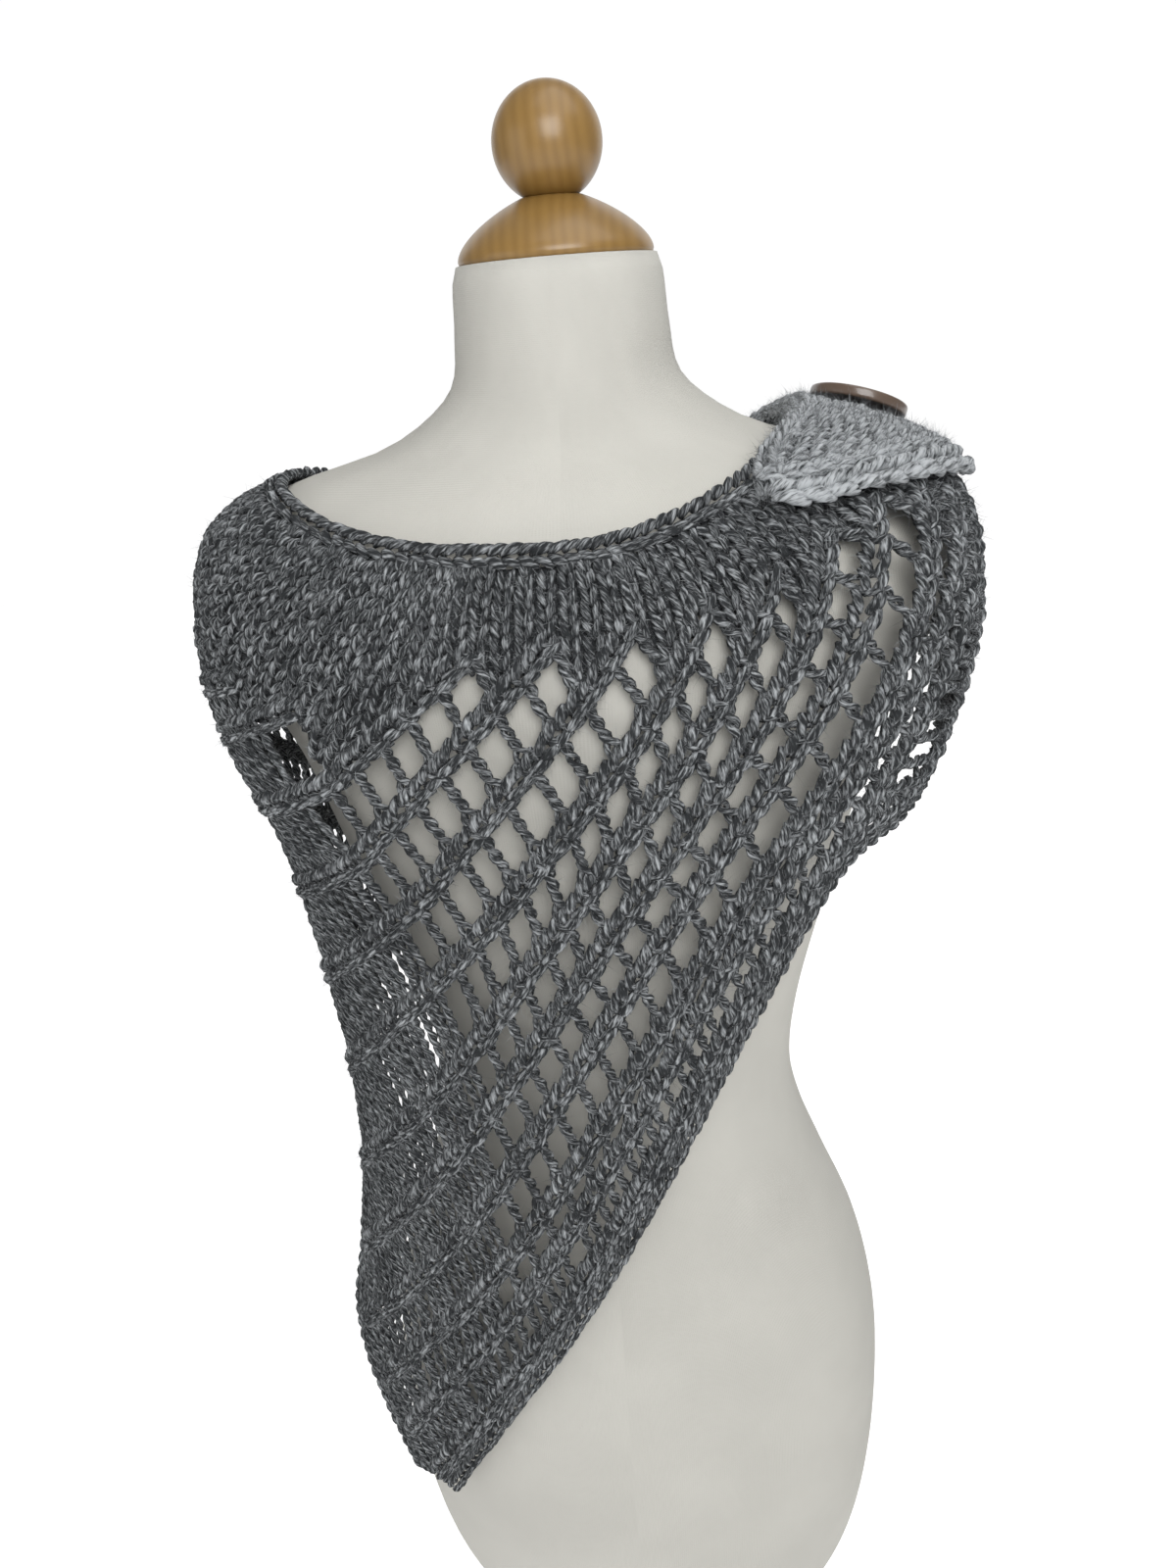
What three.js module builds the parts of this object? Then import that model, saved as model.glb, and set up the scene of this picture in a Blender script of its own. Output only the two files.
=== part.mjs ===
// Triangular hand-knitted lace shawl worn on a limbless dress form.
// Millimetres, +Z up, the back of the form faces -Y, origin at the centre of the form's flat underside.
//
// The cloth is described on a chart: w is the distance round the body from the centre back
// (positive to the right as seen from behind), u is the height measured along the cloth.
// Every panel is laid out on that chart and then carried onto the worn cloth surface.

import * as THREE from 'three';

// Driving sizes
const SEAM_GAP = 0.3;
const CURVED_SEAM_GAP = 0.5;
const QUARTER_ROUND = 237.5;
const FULL_ROUND = 4 * QUARTER_ROUND;
const CHART_HEIGHT = 738;
const CHART_RING = 3.6;

const KNIT_INNER = -2.2;
const KNIT_OUTER = 2.4;
const LACE_OUTER = 2.0;
const RIB_RISE = 1.7;
const NECK_EDGE_HEIGHT = 12;
const NECK_EDGE_INNER = -2.6;
const NECK_EDGE_OUTER = 4.4;
const HEM_WIDTH = 14;
const HEM_GAP = 1;
const HEM_OUTER = 3.6;
const YOKE_ROWS = 5;
const YOKE_STEP = 13;

const BACK_END = 300;
const BACK_END_HEIGHT = 800;
const STRAP_END = -620;
const STRAP_LOW = 803;
const FLAP_END = FULL_ROUND + STRAP_END;

const FLAP_LIFT = 10;
const FLAP_LIFT_START = 303;
const FLAP_ACROSS = 6;
const FLAP_ALONG = 15;
const FLAP_EDGE_WIDTH = 9;

const BUTTON_RADIUS = 26;
const BUTTON_THICK = 5.5;
const BUTTON_RIM = 3;
const BUTTON_ROUNDING = 1.5;
const BUTTON_DISH = 1.4;
const BUTTON_W = 262;
const BUTTON_U = 843;

const NECK_CENTRE_FORWARD = 17;
const CAP_RADIUS = 50;
const CAP_HEIGHT = 29;
const CAP_EDGE = 2;
const CAP_TOP_RADIUS = 16;
const CAP_FULLNESS = 0.5;
const BALL_RADIUS = 27.5;
const BALL_SEAT = 13;

const FORM_SIDES = 34;
const FORM_STEP = 34;

// A table is a list of column names and then one list of values for each row
const table = (columns, rows) =>
  rows.map((row) => Object.fromEntries(row.map((value, c) => [columns[c], value])));

// The dress form, one row for each section from the flat underside to the neck
const FORM_SECTIONS = table(['height', 'halfWidth', 'back', 'front', 'forward', 'square'], [
  [0, 78, 58, 52, 0, 2.1],
  [8, 94, 70, 64, 0, 2.15],
  [30, 116, 86, 78, 0, 2.2],
  [62, 137, 100, 90, 0, 2.2],
  [105, 152, 110, 98, 0, 2.25],
  [160, 161, 116, 102, 0, 2.3],
  [225, 165, 119, 103, 0, 2.3],
  [290, 163, 118, 102, 0, 2.3],
  [345, 152, 111, 99, 0, 2.25],
  [395, 133, 100, 95, 0, 2.2],
  [440, 117, 91, 90, 0, 2.15],
  [480, 110, 87, 88, 0, 2.1],
  [530, 115, 89, 93, 0, 2.15],
  [600, 132, 99, 112, 0, 2.25],
  [662, 149, 105, 128, 0, 2.35],
  [705, 162, 107, 127, 0, 2.35],
  [745, 181, 105, 112, 0, 2.3],
  [782, 197, 97, 91, 0, 2.25],
  [808, 199, 88, 75, 0, 2.2],
  [826, 190, 78, 62, 1, 2.15],
  [841, 170, 67, 52, 4, 2.1],
  [851, 142, 59, 48, 8, 2.05],
  [860, 106, 55, 48, 12, 2],
  [872, 81, 56, 54, 16, 2],
  [890, 61, 56, 56, 17, 2],
  [915, 56, 55, 55, 17, 2],
  [940, 54, 54, 54, 17, 2],
  [948, 51.5, 51.5, 51.5, 17, 2],
]);

// The worn cloth, one row for each ring from the neckline down. A ring passes through four
// points: left and right at their own reach and height, back and front at theirs.
const RING_COLUMNS = ['left', 'leftZ', 'right', 'rightZ', 'back', 'backZ', 'front', 'frontZ', 'square'];
const CLOTH_RINGS = table(RING_COLUMNS, [
  [150, 852, 116, 864, 86, 823, 82, 818, 2.25],
  [178, 843, 158, 852, 95, 803, 91, 794, 2.25],
  [199, 824, 191, 834, 103, 780, 106, 764, 2.3],
  [208, 794, 208, 802, 109, 754, 123, 732, 2.35],
  [209, 755, 210, 760, 113, 720, 133, 698, 2.4],
  [201, 714, 200, 715, 115, 688, 135, 672, 2.4],
  [184, 670, 184, 670, 116, 650, 134, 640, 2.4],
  [175, 622, 170, 620, 116, 610, 130, 602, 2.4],
  [168, 565, 160, 560, 117, 560, 126, 560, 2.4],
  [164, 505, 156, 505, 119, 505, 122, 505, 2.35],
  [167, 430, 158, 430, 121, 430, 118, 430, 2.35],
  [178, 370, 164, 370, 122, 370, 115, 370, 2.35],
  [194, 325, 168, 325, 124, 325, 113, 325, 2.35],
  [197, 265, 170, 265, 125, 265, 112, 265, 2.35],
  [193, 200, 170, 200, 124, 200, 110, 200, 2.35],
  [186, 130, 168, 130, 121, 130, 108, 130, 2.35],
  [178, 70, 160, 70, 114, 70, 100, 70, 2.35],
]);
const LEFT_RISE = 2.8;
const RIGHT_RISE = 1.7;
const FRONT_RISE = 1.35;

// The knitted ribs of the lace, one row each. A rib runs down and to the left from the yoke. The
// bars between ribs join them column by column: column 0 meets the lowest point of the yoke and
// EDGE_COLUMN is the left edge of the shawl. Cells are counted from the yoke to the turn of the rib.
const EDGE_COLUMN = 10;
const BACK_RIBS = table(['topW', 'topU', 'midW', 'midU', 'turnW', 'turnU', 'cells', 'edgeW', 'edgeU'], [
  [-41.5, 782, -77, 745, -112, 709, 5, -315, 572],
  [-5.5, 785, -59, 723, -112, 664, 8, -285, 525],
  [30.5, 790, -36, 703, -112, 620, 11, -256, 478],
  [65.5, 796, 0, 697.5, -112, 570, 14, -229, 432],
  [100.5, 802, 0, 655.5, -112, 506, 17, -205, 388],
  [132, 808, 30, 658, -112, 455, 20, -184, 346],
  [160, 814, 56, 655, -112, 400, 22, -166, 308],
  [186, 808, 60, 612, -112, 345, 24, -149, 279],
  [213, 806, 60, 585, -112, 293, 26, -134, 249],
  [240, 802, 71, 563, -112, 240, 28, -121, 220],
]);
const LAST_BACK_RIB = BACK_RIBS.length - 1;

// Further ribs to the left of the first, on the side and front, from the yoke to the left edge
const FRONT_RIBS = table(['topW', 'topU', 'edgeW', 'edgeU', 'from'], [
  [-126, 744, -334, 602, 0],
  [-163, 743, -350, 633, 2],
  [-212, 743, -362, 664, 4],
  [-264, 743, -370, 695, 6],
  [-318, 744, -374, 722, 8],
  [-375, 745, -375, 745, 10],
]);

// Further ribs to the right of the hem, under the shoulder
const RIGHT_RIBS = table(['topW', 'topU', 'midW', 'midU', 'turnW', 'turnU', 'cells', 'from'], [
  [268, 801, 224, 726, 186, 648, 8, -20],
  [BACK_END - 6, 800.5, 266, 740, 244, 676, 6, -21],
]);
const HEM_LEAVES_RIB_AT = -11;
const BACK_END_LOW = 716;

// Where the right side of the back is pulled into a fold by the button
const PLEAT = [
  { u: 640, w: 58, lift: 0 },
  { u: 700, w: 92, lift: 5 },
  { u: 740, w: 114, lift: 8 },
  { u: 775, w: 134, lift: 8 },
  { u: 815, w: 150, lift: 4 },
  { u: 838, w: 158, lift: 0 },
];
const PLEAT_EDGE = 6;
const PLEAT_CREST = 14;
const PLEAT_RUN = 62;

// The end of the shawl that comes over the right shoulder, one row for each section along it
const FLAP = [
  { innerW: 126, innerU: 836, outerW: 224, outerU: 801 },
  { innerW: 152, innerU: 858, outerW: 234, outerU: 801 },
  { innerW: 195, innerU: 872, outerW: 250, outerU: 802 },
  { innerW: 245, innerU: 877, outerW: 272, outerU: 803 },
  { innerW: 290, innerU: 873, outerW: 300, outerU: 803 },
  { innerW: 330, innerU: 868, outerW: 330, outerU: 803 },
];

// Holes by their place in a cell: s runs along the rib, t across to the next rib
const HOLE = [
  { s: 0.38, t: 0.2 },
  { s: 0.85, t: 0.2 },
  { s: 0.85, t: 0.62 },
  { s: 0.62, t: 0.8 },
  { s: 0.15, t: 0.8 },
  { s: 0.15, t: 0.38 },
];

const colours = {
  form: { color: 0xd9d5cb, roughness: 0.9, metalness: 0 },
  wood: { color: 0xc8904a, roughness: 0.4, metalness: 0 },
  yarn: { color: 0x55585e, roughness: 0.95, metalness: 0 },
  button: { color: 0x3a2c22, roughness: 0.35, metalness: 0 },
};
const material = (name) => new THREE.MeshStandardMaterial(colours[name]);

const clamp01 = (x) => Math.min(1, Math.max(0, x));
const smoothstep = (x) => {
  const c = clamp01(x);
  return c * c * (3 - 2 * c);
};
const mix = (a, b, t) => a + (b - a) * t;

// Smooth curve through the rows of a table, by row position
function smoothRow(xs, rows, x) {
  let i = 0;
  while (i < xs.length - 2 && x > xs[i + 1]) i += 1;
  const span = xs[i + 1] - xs[i];
  const t = (x - xs[i]) / span;
  const slope = (k, c) => {
    const before = Math.max(0, k - 1);
    const after = Math.min(xs.length - 1, k + 1);
    return (rows[after][c] - rows[before][c]) / (xs[after] - xs[before]);
  };
  const startValue = 2 * t ** 3 - 3 * t ** 2 + 1;
  const startSlope = (t ** 3 - 2 * t ** 2 + t) * span;
  const endSlope = (t ** 3 - t ** 2) * span;
  return rows[i].map((value, c) =>
    startValue * value + startSlope * slope(i, c)
    + (1 - startValue) * rows[i + 1][c] + endSlope * slope(i + 1, c));
}

// Worn cloth surface

const RING_STATIONS = 40;
const RING_SAMPLES = 240;
const RINGS_BETWEEN = 12;

function quarterCurve(side, high, deep, deepHigh, square, rise, fromSide) {
  const points = [];
  for (let i = 0; i <= RING_SAMPLES; i += 1) {
    const angle = (Math.PI / 2) * (i / RING_SAMPLES);
    const sideways = fromSide ? Math.cos(angle) : Math.sin(angle);
    const deepways = fromSide ? Math.sin(angle) : Math.cos(angle);
    points.push([
      side * Math.abs(sideways) ** (2 / square),
      deep * Math.abs(deepways) ** (2 / square),
      deepHigh + (high - deepHigh) * Math.abs(sideways) ** rise,
    ]);
  }
  return points;
}

function evenStations(points, count) {
  const along = [0];
  for (let i = 1; i < points.length; i += 1) {
    along.push(along[i - 1] + Math.hypot(...points[i].map((v, c) => v - points[i - 1][c])));
  }
  const out = [];
  let k = 0;
  for (let n = 0; n <= count; n += 1) {
    const target = (along[along.length - 1] * n) / count;
    while (k < points.length - 2 && along[k + 1] < target) k += 1;
    const t = clamp01((target - along[k]) / (along[k + 1] - along[k]));
    out.push(points[k].map((v, c) => mix(v, points[k + 1][c], t)));
  }
  return out;
}

// Stations run from the centre front, round the left side, the back and the right side
function ringStations(r) {
  const quarters = [
    quarterCurve(-r.left, r.leftZ, r.front, r.frontZ, r.square, FRONT_RISE, false),
    quarterCurve(-r.left, r.leftZ, -r.back, r.backZ, r.square, LEFT_RISE, true),
    quarterCurve(r.right, r.rightZ, -r.back, r.backZ, r.square, RIGHT_RISE, false),
    quarterCurve(r.right, r.rightZ, r.front, r.frontZ, r.square, FRONT_RISE, true),
  ].map((quarter) => evenStations(quarter, RING_STATIONS));
  return quarters.flatMap((quarter, q) => (q < 3 ? quarter.slice(0, -1) : quarter));
}

const coarseRings = CLOTH_RINGS.map(ringStations);
const ringIndex = CLOTH_RINGS.map((row, i) => i);
const STATION_COUNT = coarseRings[0].length;
const RING_COUNT = (CLOTH_RINGS.length - 1) * RINGS_BETWEEN + 1;

// One column of points down the cloth for each station, with its chart heights
const columns = Array.from({ length: STATION_COUNT }, (_, station) => {
  const rows = coarseRings.map((ring) => ring[station]);
  const points = [];
  for (let i = 0; i < RING_COUNT; i += 1) points.push(smoothRow(ringIndex, rows, i / RINGS_BETWEEN));
  const down = [0];
  for (let i = 1; i < points.length; i += 1) {
    down.push(down[i - 1] + Math.hypot(...points[i].map((v, c) => v - points[i - 1][c])));
  }
  const zero = down[Math.round(CHART_RING * RINGS_BETWEEN)];
  return { points, heights: down.map((d) => CHART_HEIGHT + zero - d) };
});

function columnPoint(column, u) {
  const { points, heights } = column;
  if (u >= heights[0]) return points[0];
  let low = 0;
  let high = heights.length - 1;
  while (high - low > 1) {
    const middle = (low + high) >> 1;
    if (heights[middle] >= u) low = middle;
    else high = middle;
  }
  const t = clamp01((heights[low] - u) / (heights[low] - heights[high]));
  return points[low].map((v, c) => mix(v, points[high][c], t));
}

function stationOf(w) {
  const wrapped = (((w + 2 * QUARTER_ROUND) % FULL_ROUND) + FULL_ROUND) % FULL_ROUND;
  const place = (wrapped / FULL_ROUND) * (STATION_COUNT - 1);
  const k = Math.min(STATION_COUNT - 2, Math.floor(place));
  return { k, t: place - k };
}

function bareCloth(w, u) {
  const { k, t } = stationOf(w);
  const a = columnPoint(columns[k], u);
  const b = columnPoint(columns[k + 1], u);
  return new THREE.Vector3(...a.map((v, c) => mix(v, b[c], t)));
}

function neckline(w) {
  const { k, t } = stationOf(w);
  return mix(columns[k].heights[0], columns[k + 1].heights[0], t);
}

const pleatHeights = PLEAT.map((row) => row.u);
const pleatRows = PLEAT.map((row) => [row.w, row.lift]);
function pleatLift(w, u) {
  if (u <= pleatHeights[0] || u >= pleatHeights[pleatHeights.length - 1]) return 0;
  const [crest, lift] = smoothRow(pleatHeights, pleatRows, u);
  const past = w - crest;
  const rise = smoothstep((past + PLEAT_EDGE) / (2 * PLEAT_EDGE));
  const fall = 1 - smoothstep((past - PLEAT_CREST) / PLEAT_RUN);
  return Math.max(0, lift) * rise * fall;
}

const NORMAL_STEP = 3;
function clothPoint(w, u, offset) {
  const top = Math.min(u, neckline(w));
  const across = bareCloth(w + NORMAL_STEP, top).sub(bareCloth(w - NORMAL_STEP, top));
  const upTo = Math.min(top + NORMAL_STEP, neckline(w));
  const up = bareCloth(w, upTo).sub(bareCloth(w, upTo - 2 * NORMAL_STEP));
  const normal = across.cross(up).normalize();
  return bareCloth(w, top).addScaledVector(normal, offset + pleatLift(w, u));
}

// A flat layout of points and triangles on the chart, turned into a closed wall

class Panel {
  constructor() {
    this.points = [];
    this.index = new Map();
    this.triangles = [];
  }

  point(p) {
    const key = `${p.w.toFixed(3)},${p.u.toFixed(3)}`;
    if (!this.index.has(key)) {
      this.index.set(key, this.points.length);
      this.points.push({ rise: 0, lift: 0, ...p });
    }
    return this.index.get(key);
  }

  triangle(a, b, c) {
    const area = (b.w - a.w) * (c.u - a.u) - (c.w - a.w) * (b.u - a.u);
    const ids = [a, b, c].map((p) => this.point(p));
    if (new Set(ids).size < 3) return;
    this.triangles.push(area > 0 ? ids : [ids[0], ids[2], ids[1]]);
  }

  quad(a, b, c, d) {
    this.triangle(a, b, c);
    this.triangle(a, c, d);
  }

  fill(loop) {
    const flat = loop.map((p) => new THREE.Vector2(p.w, p.u));
    THREE.ShapeUtils.triangulateShape(flat, [])
      .forEach(([a, b, c]) => this.triangle(loop[a], loop[b], loop[c]));
  }

  // A cell between two ribs with a hole through it
  openCell(a, b, c, d) {
    const at = ({ s, t }) => ({
      w: mix(mix(a.w, b.w, s), mix(d.w, c.w, s), t),
      u: mix(mix(a.u, b.u, s), mix(d.u, c.u, s), t),
    });
    const [h0, h1, h2, h3, h4, h5] = HOLE.map(at);
    this.triangle(a, b, h0);
    this.triangle(b, h1, h0);
    this.triangle(b, h2, h1);
    this.triangle(b, c, h2);
    this.triangle(c, h3, h2);
    this.triangle(c, d, h3);
    this.triangle(d, h4, h3);
    this.triangle(d, h5, h4);
    this.triangle(d, a, h5);
    this.triangle(a, h0, h5);
  }

  wall(inner, outer) {
    const positions = [];
    const place = (p, offset) => clothPoint(p.w, p.u, p.lift + offset).toArray();
    this.points.forEach((p) => positions.push(...place(p, outer + p.rise)));
    this.points.forEach((p) => positions.push(...place(p, inner)));
    const count = this.points.length;
    const faces = [];
    const open = new Map();
    this.triangles.forEach(([a, b, c]) => {
      faces.push(a, b, c, a + count, c + count, b + count);
      [[a, b], [b, c], [c, a]].forEach(([from, to]) => {
        if (open.has(`${to},${from}`)) open.delete(`${to},${from}`);
        else open.set(`${from},${to}`, [from, to]);
      });
    });
    open.forEach(([from, to]) => faces.push(from, from + count, to + count, from, to + count, to));
    const geometry = new THREE.BufferGeometry();
    geometry.setAttribute('position', new THREE.Float32BufferAttribute(positions, 3));
    geometry.setIndex(faces);
    geometry.computeVertexNormals();
    return geometry;
  }
}

// Points of one rib, evenly spaced along each of its stretches
const spaced = (curve, cells) =>
  curve.getSpacedPoints(cells).map((p) => ({ w: p.x, u: p.y, rise: RIB_RISE }));
function bentStretch(rib) {
  return spaced(new THREE.QuadraticBezierCurve(
    new THREE.Vector2(rib.topW, rib.topU),
    new THREE.Vector2(2 * rib.midW - (rib.topW + rib.turnW) / 2, 2 * rib.midU - (rib.topU + rib.turnU) / 2),
    new THREE.Vector2(rib.turnW, rib.turnU),
  ), rib.cells);
}
function straightStretch(fromW, fromU, rib, cells) {
  const start = new THREE.Vector2(fromW, fromU);
  return spaced(new THREE.LineCurve(start, new THREE.Vector2(rib.edgeW, rib.edgeU)), cells);
}

const ribs = new Map();
BACK_RIBS.forEach((rib, k) => {
  const left = straightStretch(rib.turnW, rib.turnU, rib, EDGE_COLUMN - k);
  ribs.set(k, { from: k - rib.cells, nodes: [...bentStretch(rib), ...left.slice(1)] });
});
FRONT_RIBS.forEach((rib, i) => {
  const cells = EDGE_COLUMN - rib.from;
  const nodes = straightStretch(rib.topW, rib.topU, rib, Math.max(1, cells)).slice(0, cells + 1);
  ribs.set(-1 - i, { from: rib.from, nodes });
});
RIGHT_RIBS.forEach((rib, i) => ribs.set(LAST_BACK_RIB + 1 + i, { from: rib.from, nodes: bentStretch(rib) }));
const FIRST_RIB = -FRONT_RIBS.length;
const LAST_RIB = LAST_BACK_RIB + RIGHT_RIBS.length;
const node = (k, column) => ribs.get(k).nodes[column - ribs.get(k).from];
const lastColumn = (k) => ribs.get(k).from + ribs.get(k).nodes.length - 1;

function between(a, b, count) {
  return Array.from({ length: count - 1 }, (_, i) => ({
    w: mix(a.w, b.w, (i + 1) / count),
    u: mix(a.u, b.u, (i + 1) / count),
    rise: mix(a.rise ?? 0, b.rise ?? 0, (i + 1) / count),
  }));
}

// The line between yoke and lace, along the tops of the ribs
const TOP_STEPS = 3;
const topOf = (k) => ribs.get(k).nodes[0];
const topEdge = (k) => between(topOf(k), topOf(k + 1), TOP_STEPS);

// Cells of the ladders from one rib to another, between two columns
function lace(firstLadder, lastLadder, firstColumn, endColumn, place) {
  const panel = new Panel();
  const at = (k, column) => place(node(k, column), k, column);
  for (let k = firstLadder; k <= lastLadder; k += 1) {
    const start = Math.max(firstColumn, ribs.get(k).from);
    const end = Math.min(endColumn, lastColumn(k), lastColumn(k + 1));
    for (let column = start; column < end; column += 1) {
      panel.openCell(at(k, column), at(k, column + 1), at(k + 1, column + 1), at(k + 1, column));
    }
    const above = Math.max(firstColumn, ribs.get(k + 1).from);
    if (start > above) {
      const head = [at(k, start)];
      for (let column = start; column >= above; column -= 1) head.push(at(k + 1, column));
      panel.fill([...head, ...topEdge(k).reverse()]);
    }
  }
  return panel;
}

// Right of the hem rib the back of the lace runs on under the shoulder to its end
const lastRibNodes = ribs.get(LAST_RIB).nodes;
const backEndEdge = lastRibNodes.map((p, i) => ({
  w: BACK_END,
  u: mix(BACK_END_HEIGHT, BACK_END_LOW, i / (lastRibNodes.length - 1)),
}));
function addBackEnd(panel) {
  const first = ribs.get(LAST_BACK_RIB + 1).nodes;
  const hemCorner = node(LAST_BACK_RIB, HEM_LEAVES_RIB_AT);
  panel.triangle(node(LAST_BACK_RIB, HEM_LEAVES_RIB_AT - 1), hemCorner, first.at(-1));
  panel.triangle(first.at(-2), first.at(-1), lastRibNodes.at(-1));
  backEndEdge.slice(1).forEach((p, i) => {
    panel.quad(lastRibNodes[i], lastRibNodes[i + 1], p, backEndEdge[i]);
  });
}

const laceBack = lace(0, LAST_RIB - 1, -Infinity, 0, (p, k) => p);
addBackEnd(laceBack);
const laceSide = lace(0, LAST_BACK_RIB - 1, 0, EDGE_COLUMN,
  (p, k, column) => (column === 0 ? { ...p, w: p.w - CURVED_SEAM_GAP } : p));
const laceFront = lace(FIRST_RIB, -1, 0, EDGE_COLUMN,
  (p, k) => (k === 0 ? { ...p, u: p.u + CURVED_SEAM_GAP } : p));

// Strip between two lines of the same number of points
function strip(lower, upper, rows) {
  const panel = new Panel();
  const row = (i, r) => ({
    w: mix(lower[i].w, upper[i].w, r / rows),
    u: mix(lower[i].u, upper[i].u, r / rows),
    lift: mix(lower[i].lift ?? 0, upper[i].lift ?? 0, r / rows),
  });
  for (let i = 0; i + 1 < lower.length; i += 1) {
    for (let r = 0; r < rows; r += 1) panel.quad(row(i, r), row(i + 1, r), row(i + 1, r + 1), row(i, r + 1));
  }
  return panel;
}

// Moves a line sideways on the chart by the same distance all along. Its two ends go straight up or down.
function beside(line, distance) {
  const normal = (a, b) => {
    const run = Math.hypot(b.w - a.w, b.u - a.u);
    return new THREE.Vector2(-(b.u - a.u) / run, (b.w - a.w) / run);
  };
  return line.map((p, i) => {
    const before = i > 0 ? normal(line[i - 1], p) : normal(p, line[i + 1]);
    const after = i < line.length - 1 ? normal(p, line[i + 1]) : before;
    if (i === 0 || i === line.length - 1) return { w: p.w, u: p.u + distance / before.y };
    const middle = before.clone().add(after).normalize();
    const reach = distance / middle.dot(before);
    return { w: p.w + middle.x * reach, u: p.u + middle.y * reach };
  });
}

// Yokes: plain stocking stitch between the lace and the neck edging
const backBoundary = [topOf(-1), ...ribs.get(0).nodes.slice(0, 1 - ribs.get(0).from).reverse()];
for (let k = 0; k < LAST_RIB; k += 1) backBoundary.push(...topEdge(k), topOf(k + 1));
backBoundary.push(backEndEdge[0]);
const YOKE_SPLIT = topOf(-1).w;
const splitAway = (line, side) =>
  line.map((p) => ({ ...p, w: side * Math.max(side * p.w, side * YOKE_SPLIT + SEAM_GAP / 2) }));
const backYokeLine = splitAway(beside(backBoundary, CURVED_SEAM_GAP), 1);

const frontBoundary = [topOf(-1)];
for (let k = -2; k >= FIRST_RIB; k -= 1) frontBoundary.push(...topEdge(k).reverse(), topOf(k));
const strapFrom = topOf(FIRST_RIB);
const strapTo = { w: STRAP_END + SEAM_GAP / 2, u: STRAP_LOW };
const strapSteps = Math.ceil((strapFrom.w - strapTo.w) / YOKE_STEP);
frontBoundary.push(...between(strapFrom, strapTo, strapSteps), strapTo);
const frontYokeLine = splitAway(beside(frontBoundary, -CURVED_SEAM_GAP), -1);

const yokeTop = (p) => ({ w: p.w, u: neckline(p.w) - NECK_EDGE_HEIGHT - CURVED_SEAM_GAP });
const neckBottom = (p) => ({ w: p.w, u: neckline(p.w) - NECK_EDGE_HEIGHT });
const neckTop = (p) => ({ w: p.w, u: neckline(p.w) });

// Hem borders run from the low point of the shawl, right along the last rib and left along its edge
const hemBack = [];
for (let column = EDGE_COLUMN; column >= HEM_LEAVES_RIB_AT; column -= 1) {
  hemBack.push(node(LAST_BACK_RIB, column));
}
hemBack.push(ribs.get(LAST_BACK_RIB + 1).nodes.at(-1), lastRibNodes.at(-1), backEndEdge.at(-1));
const hemFront = [];
for (let k = LAST_BACK_RIB; k >= FIRST_RIB; k -= 1) hemFront.push(node(k, EDGE_COLUMN));
hemFront.push(...between(strapFrom, strapTo, strapSteps), strapTo);
const TIP = hemBack[0].w;
function hemBorder(line, side) {
  const away = (distance) => beside(line, -side * distance)
    .map((p) => ({ ...p, w: side * Math.max(side * p.w, side * TIP + SEAM_GAP / 2) }));
  return strip(away(HEM_WIDTH), away(HEM_GAP), 1);
}

// The end over the shoulder
const flapSections = FLAP.map((row) => [row.innerW, row.innerU, row.outerW, row.outerU]);
const flapIndex = FLAP.map((row, i) => i);
const flapLift = (w) => FLAP_LIFT * smoothstep((FLAP_END - w) / (FLAP_END - FLAP_LIFT_START));
function flapEdge(across) {
  return Array.from({ length: FLAP_ALONG + 1 }, (_, i) => {
    const place = ((FLAP.length - 1) * i) / FLAP_ALONG;
    const [innerW, innerU, outerW, outerU] = smoothRow(flapIndex, flapSections, place);
    const w = Math.min(mix(outerW, innerW, across), FLAP_END - SEAM_GAP / 2);
    return { w, u: mix(outerU, innerU, across), lift: flapLift(w) };
  });
}
function flapEndLine(back) {
  const first = FLAP[0];
  const run = Math.hypot(first.innerW - first.outerW, first.innerU - first.outerU);
  const acrossW = (first.innerU - first.outerU) / run;
  const acrossU = (first.outerW - first.innerW) / run;
  return Array.from({ length: FLAP_ALONG + 1 }, (_, i) => {
    const t = i / FLAP_ALONG;
    return {
      w: mix(first.innerW, first.outerW, t) - acrossW * back,
      u: mix(first.innerU, first.outerU, t) - acrossU * back,
      lift: FLAP_LIFT,
    };
  });
}

// Hard pieces

function formSection(height, angle) {
  const heights = FORM_SECTIONS.map((row) => row.height);
  const rows = FORM_SECTIONS.map((row) => [row.halfWidth, row.back, row.front, row.forward, row.square]);
  const [halfWidth, back, front, forward, square] = smoothRow(heights, rows, height);
  const side = Math.sin(angle);
  const deep = -Math.cos(angle);
  const reach = deep > 0 ? front : back;
  return [
    halfWidth * Math.sign(side) * Math.abs(side) ** (2 / square),
    forward + reach * Math.sign(deep) * Math.abs(deep) ** (2 / square),
    height,
  ];
}

function formHeights() {
  const heights = [];
  for (let i = 0; i + 1 < FORM_SECTIONS.length; i += 1) {
    const from = FORM_SECTIONS[i].height;
    const to = FORM_SECTIONS[i + 1].height;
    const steps = Math.max(1, Math.round((to - from) / FORM_STEP));
    for (let s = 0; s < steps; s += 1) heights.push(mix(from, to, s / steps));
  }
  heights.push(FORM_SECTIONS.at(-1).height);
  return heights;
}

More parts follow.
